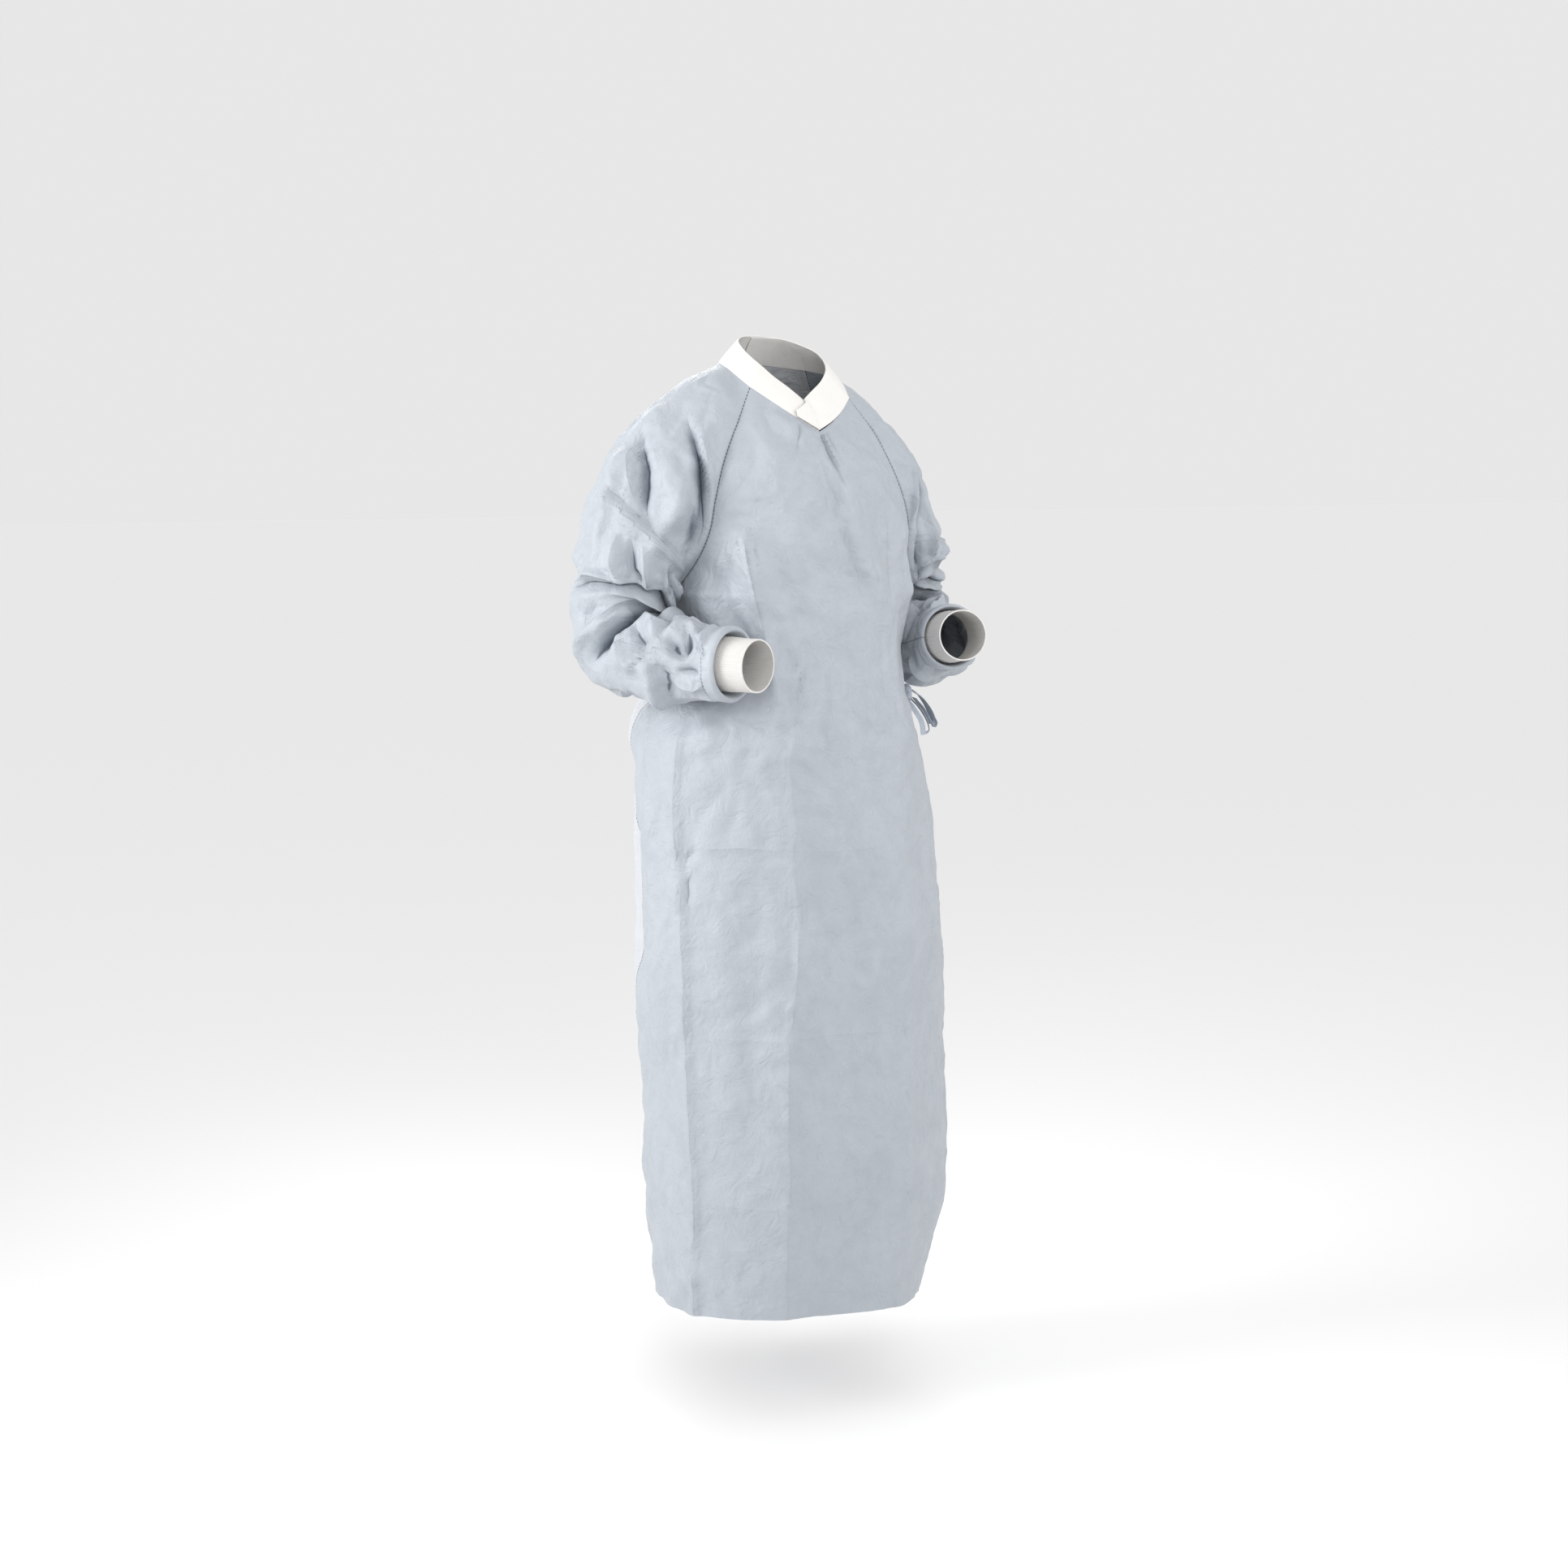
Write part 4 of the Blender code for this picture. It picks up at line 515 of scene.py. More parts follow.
# The same for the sleeves, with paths of (angle, place). The left sleeve's are mirrored, so
# there right and left change places.
RIGHT_CREASES = (
    # The deep fold beside the armhole, the lit ridge past it and the pillow before it.
    (((38, 0.4), (60, 0.44), (76, 0.48), (87, 0.53), (94, 0.59), (102, 0.66), (109, 0.74),
      (114, 0.84)), 0.024, 0.012, -0.0165, 1.0),
    (((50, 0.38), (72, 0.425), (92, 0.48), (103, 0.55), (110, 0.63), (118, 0.74)),
     0.012, 0.016, 0.0065, 1.1),
    (((84, 0.63), (90, 0.68), (100, 0.73), (110, 0.79)), 0.013, 0.007, -0.0065, 1.0),
    (((44, 0.54), (60, 0.62), (76, 0.7), (90, 0.78)), 0.022, 0.018, 0.0085, 1.8),
    (((26, 0.36), (34, 0.44), (40, 0.52)), 0.014, 0.014, -0.0036, 1.2),
    # The second fold down the outside of the arm, with its dark facet.
    (((10, 0.54), (24, 0.62), (38, 0.67), (46, 0.72), (53, 0.77), (62, 0.81), (72, 0.845)),
     0.028, 0.0075, -0.0125, 1.0),
    (((6, 0.56), (16, 0.66), (28, 0.735), (41, 0.785), (58, 0.82)), 0.022, 0.014, 0.005, 1.0),
    # The long edge that laps over the elbow's crook.
    (((10, 0.8), (20, 0.825), (38, 0.838), (54, 0.85), (68, 0.86), (82, 0.872), (100, 0.88),
      (117, 0.885), (138, 0.905)), 0.03, 0.011, 0.0095, 1.0),
    (((12, 0.775), (22, 0.8), (38, 0.812), (54, 0.824), (68, 0.834), (82, 0.845), (102, 0.852),
      (122, 0.86)), 0.0045, 0.005, -0.0036, 1.0),
    # The shaded facet under it, and the crease across at its foot.
    (((46, 0.9), (50, 1.15), (57, 1.8), (64, 2.3)), 0.032, 0.022, 0.0095, 1.0),
    (((60, 0.9), (74, 1.1), (83, 1.45), (90, 1.85)), 0.022, 0.0065, -0.0105, 1.0),
    (((72, 0.9), (84, 1.02), (90, 1.35), (98, 1.75)), 0.0065, 0.012, 0.0065, 1.0),
    (((-14, 2.2), (22, 2.16), (46, 2.2), (64, 2.15), (90, 1.72), (118, 1.22)),
     0.0065, 0.022, 0.006, 1.0),
    (((-12, 2.46), (22, 2.4), (46, 2.44), (64, 2.4), (90, 1.97), (121, 1.42)),
     0.015, 0.0065, -0.0085, 1.0),
    (((10, 3.05), (50, 3.0), (88, 2.6), (126, 2.05)), 0.02, 0.016, 0.01, 1.4),
    # The bunch of pleats at the crook's end.
    (((100, 0.92), (114, 1.05), (134, 1.35), (150, 1.95)), 0.008, 0.007, 0.009, 1.0),
    (((108, 0.94), (126, 1.06), (148, 1.4), (160, 1.8)), 0.006, 0.006, -0.0085, 1.0),
    (((118, 0.95), (138, 1.08), (158, 1.45)), 0.008, 0.008, 0.011, 1.0),
    (((98, 1.75), (120, 1.75), (140, 2.05), (154, 2.6)), 0.006, 0.007, -0.008, 1.0),
    (((84, 2.6), (108, 2.25), (132, 2.1), (158, 2.6)), 0.014, 0.012, 0.014, 1.2),
    (((122, 1.2), (146, 1.65), (166, 2.4)), 0.014, 0.014, 0.017, 1.3),
    # The elbow's deep crease, which the upper arm's cloth hangs over.
    (((-22, 4.4), (-7, 4.42), (20, 4.47), (41, 4.5), (60, 4.5), (78, 4.38), (98, 3.95),
      (124, 3.3)), 0.0085, 0.016, -0.0165, 1.0),
    (((-30, 3.85), (10, 3.85), (48, 3.72), (84, 3.3), (120, 2.8)), 0.012, 0.022, 0.008, 1.1),
    (((22, 4.9), (40, 4.84), (60, 4.8), (80, 4.72), (100, 4.42)), 0.008, 0.006, -0.0065, 1.0),
    # Facets of the forearm.
    (((92, 4.6), (76, 5.1), (58, 5.72), (40, 5.92), (22, 6.02)), 0.018, 0.011, 0.0132, 1.0),
    (((96, 5.0), (86, 5.55), (74, 5.95), (60, 6.02)), 0.01, 0.012, -0.0084, 1.0),
    (((18, 5.98), (40, 6.04), (58, 6.08), (80, 6.17), (104, 6.2)), 0.012, 0.007, -0.0108, 1.0),
    (((22, 6.2), (44, 6.27), (70, 6.38), (104, 6.48)), 0.01, 0.011, 0.0114, 1.0),
    (((50, 6.28), (36, 6.33), (22, 6.46), (4, 6.74)), 0.008, 0.011, -0.0114, 1.0),
    (((4, 6.76), (22, 6.78), (44, 6.76), (66, 6.6)), 0.008, 0.009, -0.0108, 1.0),
    (((84, 6.55), (66, 6.7), (46, 7.05), (26, 7.46), (10, 7.6)), 0.011, 0.009, 0.0108, 1.0),
    (((26, 7.46), (44, 7.38), (64, 7.3), (90, 7.28)), 0.007, 0.007, 0.0072, 1.0),
    (((44, 7.05), (34, 7.18), (24, 7.48), (14, 7.72)), 0.006, 0.008, -0.009, 1.0),
    (((30, 4.98), (12, 5.22), (-8, 5.58), (-4, 5.92)), 0.018, 0.016, 0.012, 1.0),
    (((60, 5.05), (46, 5.35), (28, 5.66), (10, 5.82)), 0.01, 0.013, -0.0102, 1.0),
    (((6, 5.66), (-4, 5.92), (-22, 6.08), (-42, 6.02), (-88, 5.84)), 0.015, 0.01, 0.0144, 1.0),
    (((-2, 6.12), (-18, 6.3), (-34, 6.26), (-58, 6.18)), 0.008, 0.01, -0.0102, 1.0),
    (((-26, 6.42), (-30, 6.8), (-34, 7.18), (-30, 7.5)), 0.01, 0.013, 0.0096, 1.0),
    (((-10, 6.6), (-8, 7.0), (-14, 7.35)), 0.009, 0.01, -0.0066, 1.0),
    (((84, 5.3), (112, 5.36), (146, 5.45)), 0.014, 0.014, 0.0144, 1.2),
    (((86, 5.75), (116, 5.8), (150, 5.95)), 0.008, 0.009, -0.0072, 1.0),
    (((80, 7.1), (120, 7.0), (160, 7.1)), 0.008, 0.008, -0.0054, 1.0),
    # The outside and the back of the arm.
    (((-30, 0.42), (-22, 0.6), (-26, 0.85), (-16, 1.9)), 0.02, 0.012, 0.0055, 1.1),
    (((-60, 0.55), (-48, 0.75), (-46, 1.0), (-38, 2.2)), 0.012, 0.02, -0.006, 1.1),
    (((-92, 0.62), (-82, 0.8), (-70, 1.0), (-60, 2.6)), 0.018, 0.012, 0.0065, 1.0),
    (((-130, 0.9), (-112, 1.3), (-84, 2.1), (-52, 2.8)), 0.01, 0.016, -0.007, 1.0),
    (((-140, 1.8), (-112, 2.5), (-84, 3.2)), 0.012, 0.012, 0.006, 1.0),
    (((-70, 3.6), (-40, 3.9), (-6, 3.95)), 0.01, 0.014, 0.006, 1.0),
    (((-120, 4.1), (-92, 4.6), (-60, 4.85)), 0.012, 0.01, 0.0058, 1.0),
    (((-150, 4.9), (-118, 5.3), (-84, 5.4)), 0.01, 0.012, -0.0055, 1.0),
    (((170, 5.9), (-150, 6.1), (-112, 6.5)), 0.01, 0.01, 0.006, 1.0),
    (((-168, 6.9), (-130, 6.8), (-98, 7.1)), 0.008, 0.01, -0.005, 1.0),
    (((2, 1.1), (-4, 1.6), (-2, 2.1)), 0.012, 0.01, 0.003, 1.0),
    (((12, 3.3), (26, 3.55), (44, 3.4)), 0.008, 0.008, -0.004, 1.0),
)
LEFT_CREASES = (
    (((36, 0.42), (58, 0.48), (74, 0.54), (88, 0.62), (100, 0.74)),
     0.014, 0.008, -0.0121, 1.1),
    (((48, 0.4), (84, 0.5), (100, 0.58), (110, 0.7)), 0.009, 0.01, 0.0074, 1.0),
    (((71, 0.62), (80, 0.73), (93, 0.87), (88, 1.0)), 0.014, 0.009, 0.0101, 1.0),
    (((90, 0.65), (106, 0.78), (124, 0.92), (135, 0.98)), 0.008, 0.01, -0.0081, 1.0),
    (((14, 0.62), (30, 0.7), (44, 0.8), (54, 0.9)), 0.008, 0.006, -0.0115, 1.0),
    (((12, 0.82), (38, 0.86), (66, 0.88), (96, 0.9), (128, 0.92)), 0.02, 0.006, 0.0115, 1.0),
    (((134, 0.99), (108, 1.4), (79, 2.2), (50, 2.5)), 0.006, 0.006, -0.0088, 1.0),
    (((138, 1.15), (112, 1.75), (80, 2.6), (46, 2.95)), 0.006, 0.008, 0.0095, 1.0),
    (((140, 1.45), (114, 2.15), (84, 3.0), (50, 3.3)), 0.006, 0.006, -0.0074, 1.0),
    (((-24, 4.45), (0, 4.4), (36, 4.25), (76, 3.85), (112, 3.35)), 0.01, 0.012, -0.0155, 1.1),
    (((-28, 3.9), (14, 3.8), (52, 3.55), (92, 3.1)), 0.009, 0.016, 0.0095, 1.1),
    (((71, 4.25), (92, 5.0), (112, 5.8), (150, 6.3), (176, 6.33)), 0.009, 0.009, -0.0108, 1.0),
    (((52, 4.7), (70, 5.5), (84, 6.2), (110, 6.8)), 0.01, 0.01, 0.0101, 1.0),
    (((-156, 6.33), (-128, 6.4), (-94, 6.25)), 0.009, 0.012, 0.0101, 1.0),
    (((150, 5.0), (178, 5.3), (-156, 5.6)), 0.01, 0.01, 0.0088, 1.0),
    (((-130, 7.1), (-108, 7.0), (-84, 7.2)), 0.007, 0.008, -0.0068, 1.0),
    (((30, 5.6), (16, 6.1), (20, 6.7), (44, 6.9)), 0.008, 0.008, -0.0068, 1.0),
    (((2, 5.1), (-14, 5.6), (-40, 5.9), (-72, 5.85)), 0.01, 0.012, 0.0095, 1.0),
    (((-10, 6.5), (-30, 7.0), (-56, 7.25)), 0.009, 0.009, 0.0068, 1.0),
    (((60, 7.2), (96, 7.0), (130, 7.15)), 0.008, 0.008, -0.0061, 1.0),
    (((-30, 0.44), (-20, 0.62), (-26, 0.86), (-14, 2.0)), 0.012, 0.02, 0.0074, 1.1),
    (((-62, 0.52), (-50, 0.74), (-44, 1.0), (-40, 2.3)), 0.02, 0.012, -0.0081, 1.1),
    (((-94, 0.66), (-80, 0.82), (-72, 1.0), (-58, 2.5)), 0.012, 0.018, 0.0088, 1.0),
    (((-132, 0.92), (-110, 1.4), (-84, 2.2), (-54, 2.9)), 0.014, 0.01, -0.0092, 1.0),
    (((-138, 1.9), (-110, 2.6), (-82, 3.3)), 0.012, 0.012, 0.0081, 1.0),
    (((-72, 3.5), (-42, 3.85), (-4, 3.9)), 0.01, 0.014, 0.0081, 1.0),
    (((-122, 4.2), (-94, 4.7), (-62, 4.9)), 0.012, 0.01, 0.0078, 1.0),
    (((4, 1.2), (-3, 2.0), (3, 2.7)), 0.01, 0.012, 0.0041, 1.0),
)

# Small creases left by packing: how many, how long, how wide and how deep, from the least to
# the most, and the way most of them run from straight down, with its spread.
SCATTER_COLUMNS = ("count", "length", "width", "depth", "lean", "spread")
BODY_SCATTER = (120, (0.050, 0.160), (0.008, 0.020), (0.0006, 0.0016), 0.0, 55.0)
SLEEVE_SCATTER = (60, (0.030, 0.080), (0.007, 0.014), (0.0010, 0.0024), 20.0, 60.0)

# The paper-like crumple: how far apart its creases are and how deep they are.
CRUMPLE = ((0.110, 0.0030), (0.052, 0.0019), (0.026, 0.0009))


def cubic(places, values, at):
    """Cubic through the rows, each slope the mean of the slopes beside it."""
    places = np.asarray(places, float)
    values = np.asarray(values, float)
    at = np.clip(np.asarray(at, float), places[0], places[-1])
    spans = np.diff(places)
    rises = np.diff(values, axis=0) / spans[:, None]
    slopes = np.vstack([rises[:1], 0.5 * (rises[1:] + rises[:-1]), rises[-1:]])
    row = np.clip(np.searchsorted(places, at, side="right") - 1, 0, len(spans) - 1)
    span = spans[row]
    s = ((at - places[row]) / span)[..., None]
    span = span[..., None]
    return (
        (1 + 2 * s) * (1 - s) ** 2 * values[row]
        + s * (1 - s) ** 2 * span * slopes[row]
        + s * s * (3 - 2 * s) * values[row + 1]
        + s * s * (s - 1) * span * slopes[row + 1]
    )


def columns(names, table, at):
    """The table's other columns, by name, at values of its first one."""
    table = np.array(table)
    found = cubic(table[:, 0], table[:, 1:], at)
    return {name: found[..., i] for i, name in enumerate(names[1:])}


def along(points, share):
    """Points of a smooth curve through these, at shares of its length."""
    points = np.array(points)
    run = np.concatenate([[0], np.cumsum(np.linalg.norm(np.diff(points, axis=0), axis=1))])
    return cubic(run / run[-1], points, share)


def ease(low, high, at):
    """0 below `low` and 1 above `high`, with a smooth climb 3s^2 - 2s^3 between them."""
    s = np.clip((at - low) / (high - low), 0, 1)
    return s * s * (3 - 2 * s)


def unit(vectors):
    """Vectors of length 1 that point the same ways."""
    return vectors / np.maximum(np.linalg.norm(vectors, axis=-1, keepdims=True), 1e-12)


def stack(x, y, z):
    """Points from their three coordinates."""
    return np.stack(np.broadcast_arrays(x, y, z), axis=-1)


def fold_window(share):
    """Fades a fold out at its two ends."""
    return ease(0, 0.22, share) * ease(0, 0.22, 1 - share)


def body_folds(angle, drop, radius):
    """The body's broad folds: each a bell across its line, faded out at its ends."""
    lift = np.zeros(np.shape(angle))
    for row in BODY_FOLDS:
        fold = dict(zip(FOLD_COLUMNS, row))
        share = (drop - fold["drop_a"]) / (fold["drop_b"] - fold["drop_a"])
        line = fold["angle_a"] + np.clip(share, 0, 1) * (fold["angle_b"] - fold["angle_a"])
        off = (np.degrees(angle) - line + 180) % 360 - 180
        reach = np.abs(np.radians(off) * radius / fold["wide"])
        shape = np.exp(-BELL * reach**2)
        lift = lift + fold["depth"] * shape * fold_window(np.clip(share, 0, 1))
    return lift


def off_path(x, y, path):
    """How far each point lies off a path of straight steps, and how far along it.

    The distance is to the nearest point of the nearest step, and it is positive on the right
    of one who walks along the path, with y running down.
    """
    path = np.array(path, float)
    nearest = off = run = None
    before = 0.0
    for a, b in zip(path[:-1], path[1:]):
        step = b - a
        length = math.hypot(*step)
        share = np.clip(((x - a[0]) * step[0] + (y - a[1]) * step[1]) / length**2, 0, 1)
        gap = np.hypot(x - a[0] - share * step[0], y - a[1] - share * step[1])
        side = np.sign(step[0] * (y - a[1]) - step[1] * (x - a[0]))
        here = (gap, gap * side, before + share * length)
        if nearest is None:
            nearest, off, run = here
        else:
            closer = gap < nearest
            nearest, off, run = (
                np.where(closer, new, old) for new, old in zip(here, (nearest, off, run))
            )
        before += length
    return off, run, before


def pairs(count):
    """The numbers of all rows but the last, and those of the rows after them."""
    return np.arange(count - 1), np.arange(1, count)


def crease_lift(x, y, rows, turn, blunt):
    """How far creases lift the cloth, and the crest of the sharpest one near each point.

    A crease lifts it by depth exp(-BELL (distance / width)^round), with its crest rounded off
    over `blunt` so that the grid can follow it, and it grows narrow and low like a leaf at
    its ends. `x` and `y` lie on the unrolled cloth, and `turn` is the cloth in one turn
    round it. The crest is three values: its signed distance over `blunt`, the height that
    sharpening it adds at its line, and how strongly painted shade darkens its crevice. The
    last two die out where two creases compete.
    """
    lift = np.zeros(np.shape(x))
    crest = np.stack([np.full(np.shape(x), CREST_FAR), lift, lift], axis=-1)
    best, rival = lift.copy(), lift.copy()
    winner = np.full(np.shape(x), -1)
    for number, row in enumerate(rows):
        crease = dict(zip(CREASE_COLUMNS, row))
        path = np.array(crease["path"], float)
        middle = path.mean(axis=0)
        wide = CREASE_REACH * max(crease["right"], crease["left"])
        aside = (x - middle[0] + turn / 2) % turn - turn / 2
        reach = np.abs(path - middle).max(axis=0) + wide
        near = (np.abs(aside) < reach[0]) & (np.abs(y - middle[1]) < reach[1])
        if not near.any():
            continue
        off, run, length = off_path(aside[near], y[near] - middle[1], path - middle)
        end = np.clip(np.minimum(run, length - run) / min(0.5 * length, LEAF), 0, 1)
        shown = 1 - (1 - end) ** 2
        width = np.where(off > 0, crease["right"], crease["left"]) * (0.3 + 0.7 * shown)
        edge = 1 - ease(0.7, 1.0, np.abs(off) / wide)
        across = (np.sqrt(off**2 + blunt**2) - blunt) / width
        bell = np.exp(-BELL * across ** crease["round"])
        lift[near] += crease["depth"] * shown * edge * bell
        if crease["round"] > SHARP_UNDER:
            continue
        beside = 1 - ease(CREST_ENDS[0] * blunt, CREST_ENDS[1] * blunt, np.abs(off))
        slope = 1.1 * (1 / crease["right"] + 1 / crease["left"]) * crease["depth"] * shown
        sharp = STEEPEST * blunt * np.tanh(slope / STEEPEST) * beside
        # Painted shade: how far the colour is darkened along a steep trough, where shade falls.
        crevice_shade_strength = ease(*CREVICE_SHADE_SLOPES, -slope) * beside
        weight = np.abs(sharp)
        before = best[near]
        nearer = np.abs(off) / blunt < np.abs(crest[near][:, 0])
        wins = (weight > before) | ((before <= 0) & nearer)
        rival[near] = np.maximum(rival[near], np.where(wins, before, weight))
        best[near] = np.maximum(before, weight)
        winner[near] = np.where(wins, number, winner[near])
        crest[near] = np.where(
            wins[:, None], np.stack([off / blunt, sharp, crevice_shade_strength], -1), crest[near]
        )
    alone = 1 - ease(*RIVALS, rival / np.maximum(best, 1e-9))
    for axis in (0, 1):
        one, other = (np.take(winner, picked, axis) for picked in pairs(winner.shape[axis]))
        clash = (one != other) & (one >= 0) & (other >= 0)
        spare = np.zeros_like(clash[:1] if axis == 0 else clash[:, :1])
        alone *= ~(np.concatenate([clash, spare], axis) | np.concatenate([spare, clash], axis))
    crest[..., 1:] *= alone[..., None]
    return lift, crest


def unrolled(rows, reach, run):
    """A table's creases with angles turned into cloth round the form, and places into runs."""

    def laid(path):
        return [(math.radians(angle) * reach, float(run(place))) for angle, place in path]

    return [(laid(path), *sizes) for path, *sizes in rows]


def scattered(scatter, seed, low, high):
    """Small straight creases strewn over the unrolled cloth between two corners."""
    few = dict(zip(SCATTER_COLUMNS, scatter))
    rng = np.random.default_rng(seed)
    rows = []
    for _ in range(few["count"]):
        middle = rng.uniform(low, high)
        lean = math.radians(few["lean"] + few["spread"] * rng.normal())
        half = 0.5 * rng.uniform(*few["length"]) * np.array([math.sin(lean), math.cos(lean)])
        kink = middle + 0.12 * np.linalg.norm(half) * rng.normal(size=2)
        depth = rng.uniform(*few["depth"]) * rng.choice([-1, 1, 1])
        wide = rng.uniform(*few["width"], size=2)
        rows.append(([middle - half, kink, middle + half], wide[0], wide[1], depth, 1.2))
    return rows


def noise(points, seed, length, count=9):
    """Smooth noise between about -1 and 1: plane waves about `length` long, of any heading."""
    rng = np.random.default_rng(seed)
    heading = unit(rng.normal(size=(count, 3)))
    number = 2 * math.pi / (length * rng.uniform(0.7, 1.4, count))
    turned = points @ (heading * number[:, None]).T + rng.uniform(0, 2 * math.pi, count)
    return np.cos(turned).sum(-1) / math.sqrt(count)


def crumple(points, seed):
    """Paper-like facets: |noise| of three sizes, bent by slow noise and laid on in patches.

    Where the noise crosses zero the cloth has a sharp crease, and between two such lines it
    swells. Every other size is turned over, so that its creases stand out.
    """
    lift = np.zeros(points.shape[:-1])
    for step, (length, depth) in enumerate(CRUMPLE):
        first = seed + 10 * step
        bend = stack(*(noise(points, first + k, 3 * length, 5) for k in (1, 2, 3)))
        ridged = np.abs(noise(points + 0.25 * length * bend, first, length))
        patch = 0.35 + 0.65 * ease(-0.9, 0.9, noise(points, first + 4, 4 * length, 6))
        lift += depth * patch * (1.1 * ridged - 0.75) * (-1) ** step
    return lift


def polar(angle, drop, radius):
    """Points at an angle round from the front: radius sin a, -radius cos a and -drop."""
    return stack(radius * np.sin(angle), -radius * np.cos(angle), -drop)


def body_point(angle, drop, radius, at_seam=1.0, settings=None, from_neck=1.0):
    """A point of the body's cloth, with its broad folds, its creases and its crumple.

    All of them die out at a raglan seam, and the fine ones at the neckline too.
    """
    lift = body_folds(angle, drop, radius)
    if settings is not None:
        x, turn = BODY_REACH * np.asarray(angle), 2 * math.pi * BODY_REACH
        fine, crest = crease_lift(x, drop, settings["creases"], turn, BODY_BLUNT)
        ripple = crumple(polar(angle, drop, radius), 40)
        fine = settings["depth"] * fine + settings["crumple"] * ripple
        shown = ease(0.0, 0.25, at_seam) * from_neck
        lift = lift + fine * shown
        crest[..., 1:] *= (settings["depth"] * shown)[..., None]
        settings["crests"].append(np.concatenate([crest, (fine * shown)[..., None]], axis=-1))
    return polar(angle, drop, radius + at_seam * lift)


def squircle(angle, across, depth, square):
    """Radius at an angle of a rounded section with these half widths.

    It is (|sin a / across|^square + |cos a / depth|^square)^(-1 / square).
    """
    return (
        (np.abs(np.sin(angle)) / across) ** square + (np.abs(np.cos(angle)) / depth) ** square
    ) ** (-1 / square)


def skirt_points(angle, drop, settings=None):
    """The body below the armholes: a rounded section at each drop, from four half widths."""
    size = columns(BODY_COLUMNS, BODY, drop)
    side = columns(SIDE_COLUMNS, SIDE_SEAM, drop)
    edge = np.radians(np.where(np.sin(angle) > 0, side["left"], side["right"]))
    swing = np.abs(angle)
    part = np.where(swing < edge, swing / edge, (math.pi - swing) / (math.pi - edge))
    # Below the armhole the folds come back over a short way.
    at_seam = 1 - np.clip(part, 0, 1) ** 10 * (1 - ease(0.0, 0.06, drop - BODY[0][0]))
    across = np.where(np.sin(angle) > 0, size["left"], size["right"])
    depth = np.where(np.cos(angle) > 0, size["front"], size["back"])
    radius = squircle(angle, across, depth, size["square"])
    return body_point(angle, drop, radius, at_seam, settings)


def seam_angle(point):
    """The angle round from the front of a raglan seam's point."""
    return np.arctan2(point[..., 0], point[..., 1])


def chest_rows(seam, middle_table, share, angle, settings=None):
    """Rows above the armholes, from a raglan seam's points round to the middle and past it.

    A row's plan is a rounded section through both, and its height runs between theirs. The
    folds die out at the seam.
    """
    point = along(seam, share)
    middle = {k: v[:, None] for k, v in columns(MIDDLE_COLUMNS, middle_table, share).items()}
    lead = np.abs(point[:, 1:2])
    flat = (1 - (lead / middle["depth"]) ** middle["square"]) ** (1 / middle["square"])
    across = point[:, :1] / flat
    edge = seam_angle(point)[:, None]
    if middle_table is BACK_MIDDLE:
        edge, swing = math.pi - edge, math.pi - np.abs(angle)
    else:
        swing = np.abs(angle)
    part = np.clip(np.abs(swing) / edge, 0, 1)
    drop = middle["drop"] + (point[:, 2:] - middle["drop"]) * part ** middle["dip"]
    radius = squircle(angle, across, middle["depth"], middle["square"])
    from_neck = ease(0.0, 0.05, share)[:, None]
    return body_point(angle, drop, radius, 1 - part**10, settings, from_neck)


def sample_drops():
    """Drops of the rows below the armholes, at 0.78 s + 0.22 s^2 of the way for a share s.

    That sets them closer together at the waist.
    """
    top, bottom = BODY[0][0], BODY[-1][0]
    share = np.linspace(0, 1, SKIRT_ROWS + 1)[1:]
    return top + (bottom - top) * (0.78 * share + 0.22 * share**2)


def front_panel(settings=None):
    """Rows from the neckline to the hem, each from the wearer's right to the left."""
    spread = np.linspace(-1, 1, FRONT_COLUMNS + 1)
    shares = np.linspace(0, 1, RAGLAN_ROWS + 1)
    edge = seam_angle(along(RAGLAN_FRONT, shares))[:, None]
    chest = chest_rows(RAGLAN_FRONT, FRONT_MIDDLE, shares, spread * edge, settings)
    drops = sample_drops()
    side = {k: v[:, None] for k, v in columns(SIDE_COLUMNS, SIDE_SEAM, drops).items()}
    edge = np.where(spread < 0, side["right"], side["left"])
    angle = np.radians(spread * edge)
    return np.vstack([chest, skirt_points(angle, drops[:, None] + 0 * angle, settings)])


def back_panel(side, settings=None):
    """Rows from the neck to the hem, each from the side seam to the lap's edge.

    The right panel (side -1) laps over the left one (side 1).
    """
    name = "left" if side > 0 else "right"
    spread = np.linspace(0, 1, BACK_COLUMNS[side] + 1)
    shares = np.linspace(0, 1, RAGLAN_ROWS + 1)
    point = along(RAGLAN_BACK, shares)
    lap = columns(LAP_COLUMNS, LAP, point[:, 2])[name]
    edge = seam_angle(point)[:, None]
    angle = side * (edge + spread * (math.pi + np.radians(lap)[:, None] - edge))
    angle = (angle + math.pi) % (2 * math.pi) - math.pi
    chest = chest_rows(RAGLAN_BACK, BACK_MIDDLE, shares, angle, settings)
    drops = sample_drops()
    lap = np.radians(columns(LAP_COLUMNS, LAP, drops)[name])[:, None]
    edge = np.radians(columns(SIDE_COLUMNS, SIDE_SEAM, drops)[name])[:, None]
    angle = side * (edge + spread * (math.pi + lap - edge))
    skirt = skirt_points(angle, drops[:, None] + 0 * angle, settings)
    points = np.vstack([chest, skirt])
    turned = np.degrees(np.arctan2(side * points[..., 0], -points[..., 1])) % 360
    return points - side * grid_normals(points) * lap_lift(side, turned)[..., None]


def lap_lift(side, turned):
    """How far the right panel stands out, and the left one in, where the two lap."""
    if side > 0:
        return -LAYER * ease(150, 172, turned)
    return LAYER * ease(158, 178, turned)


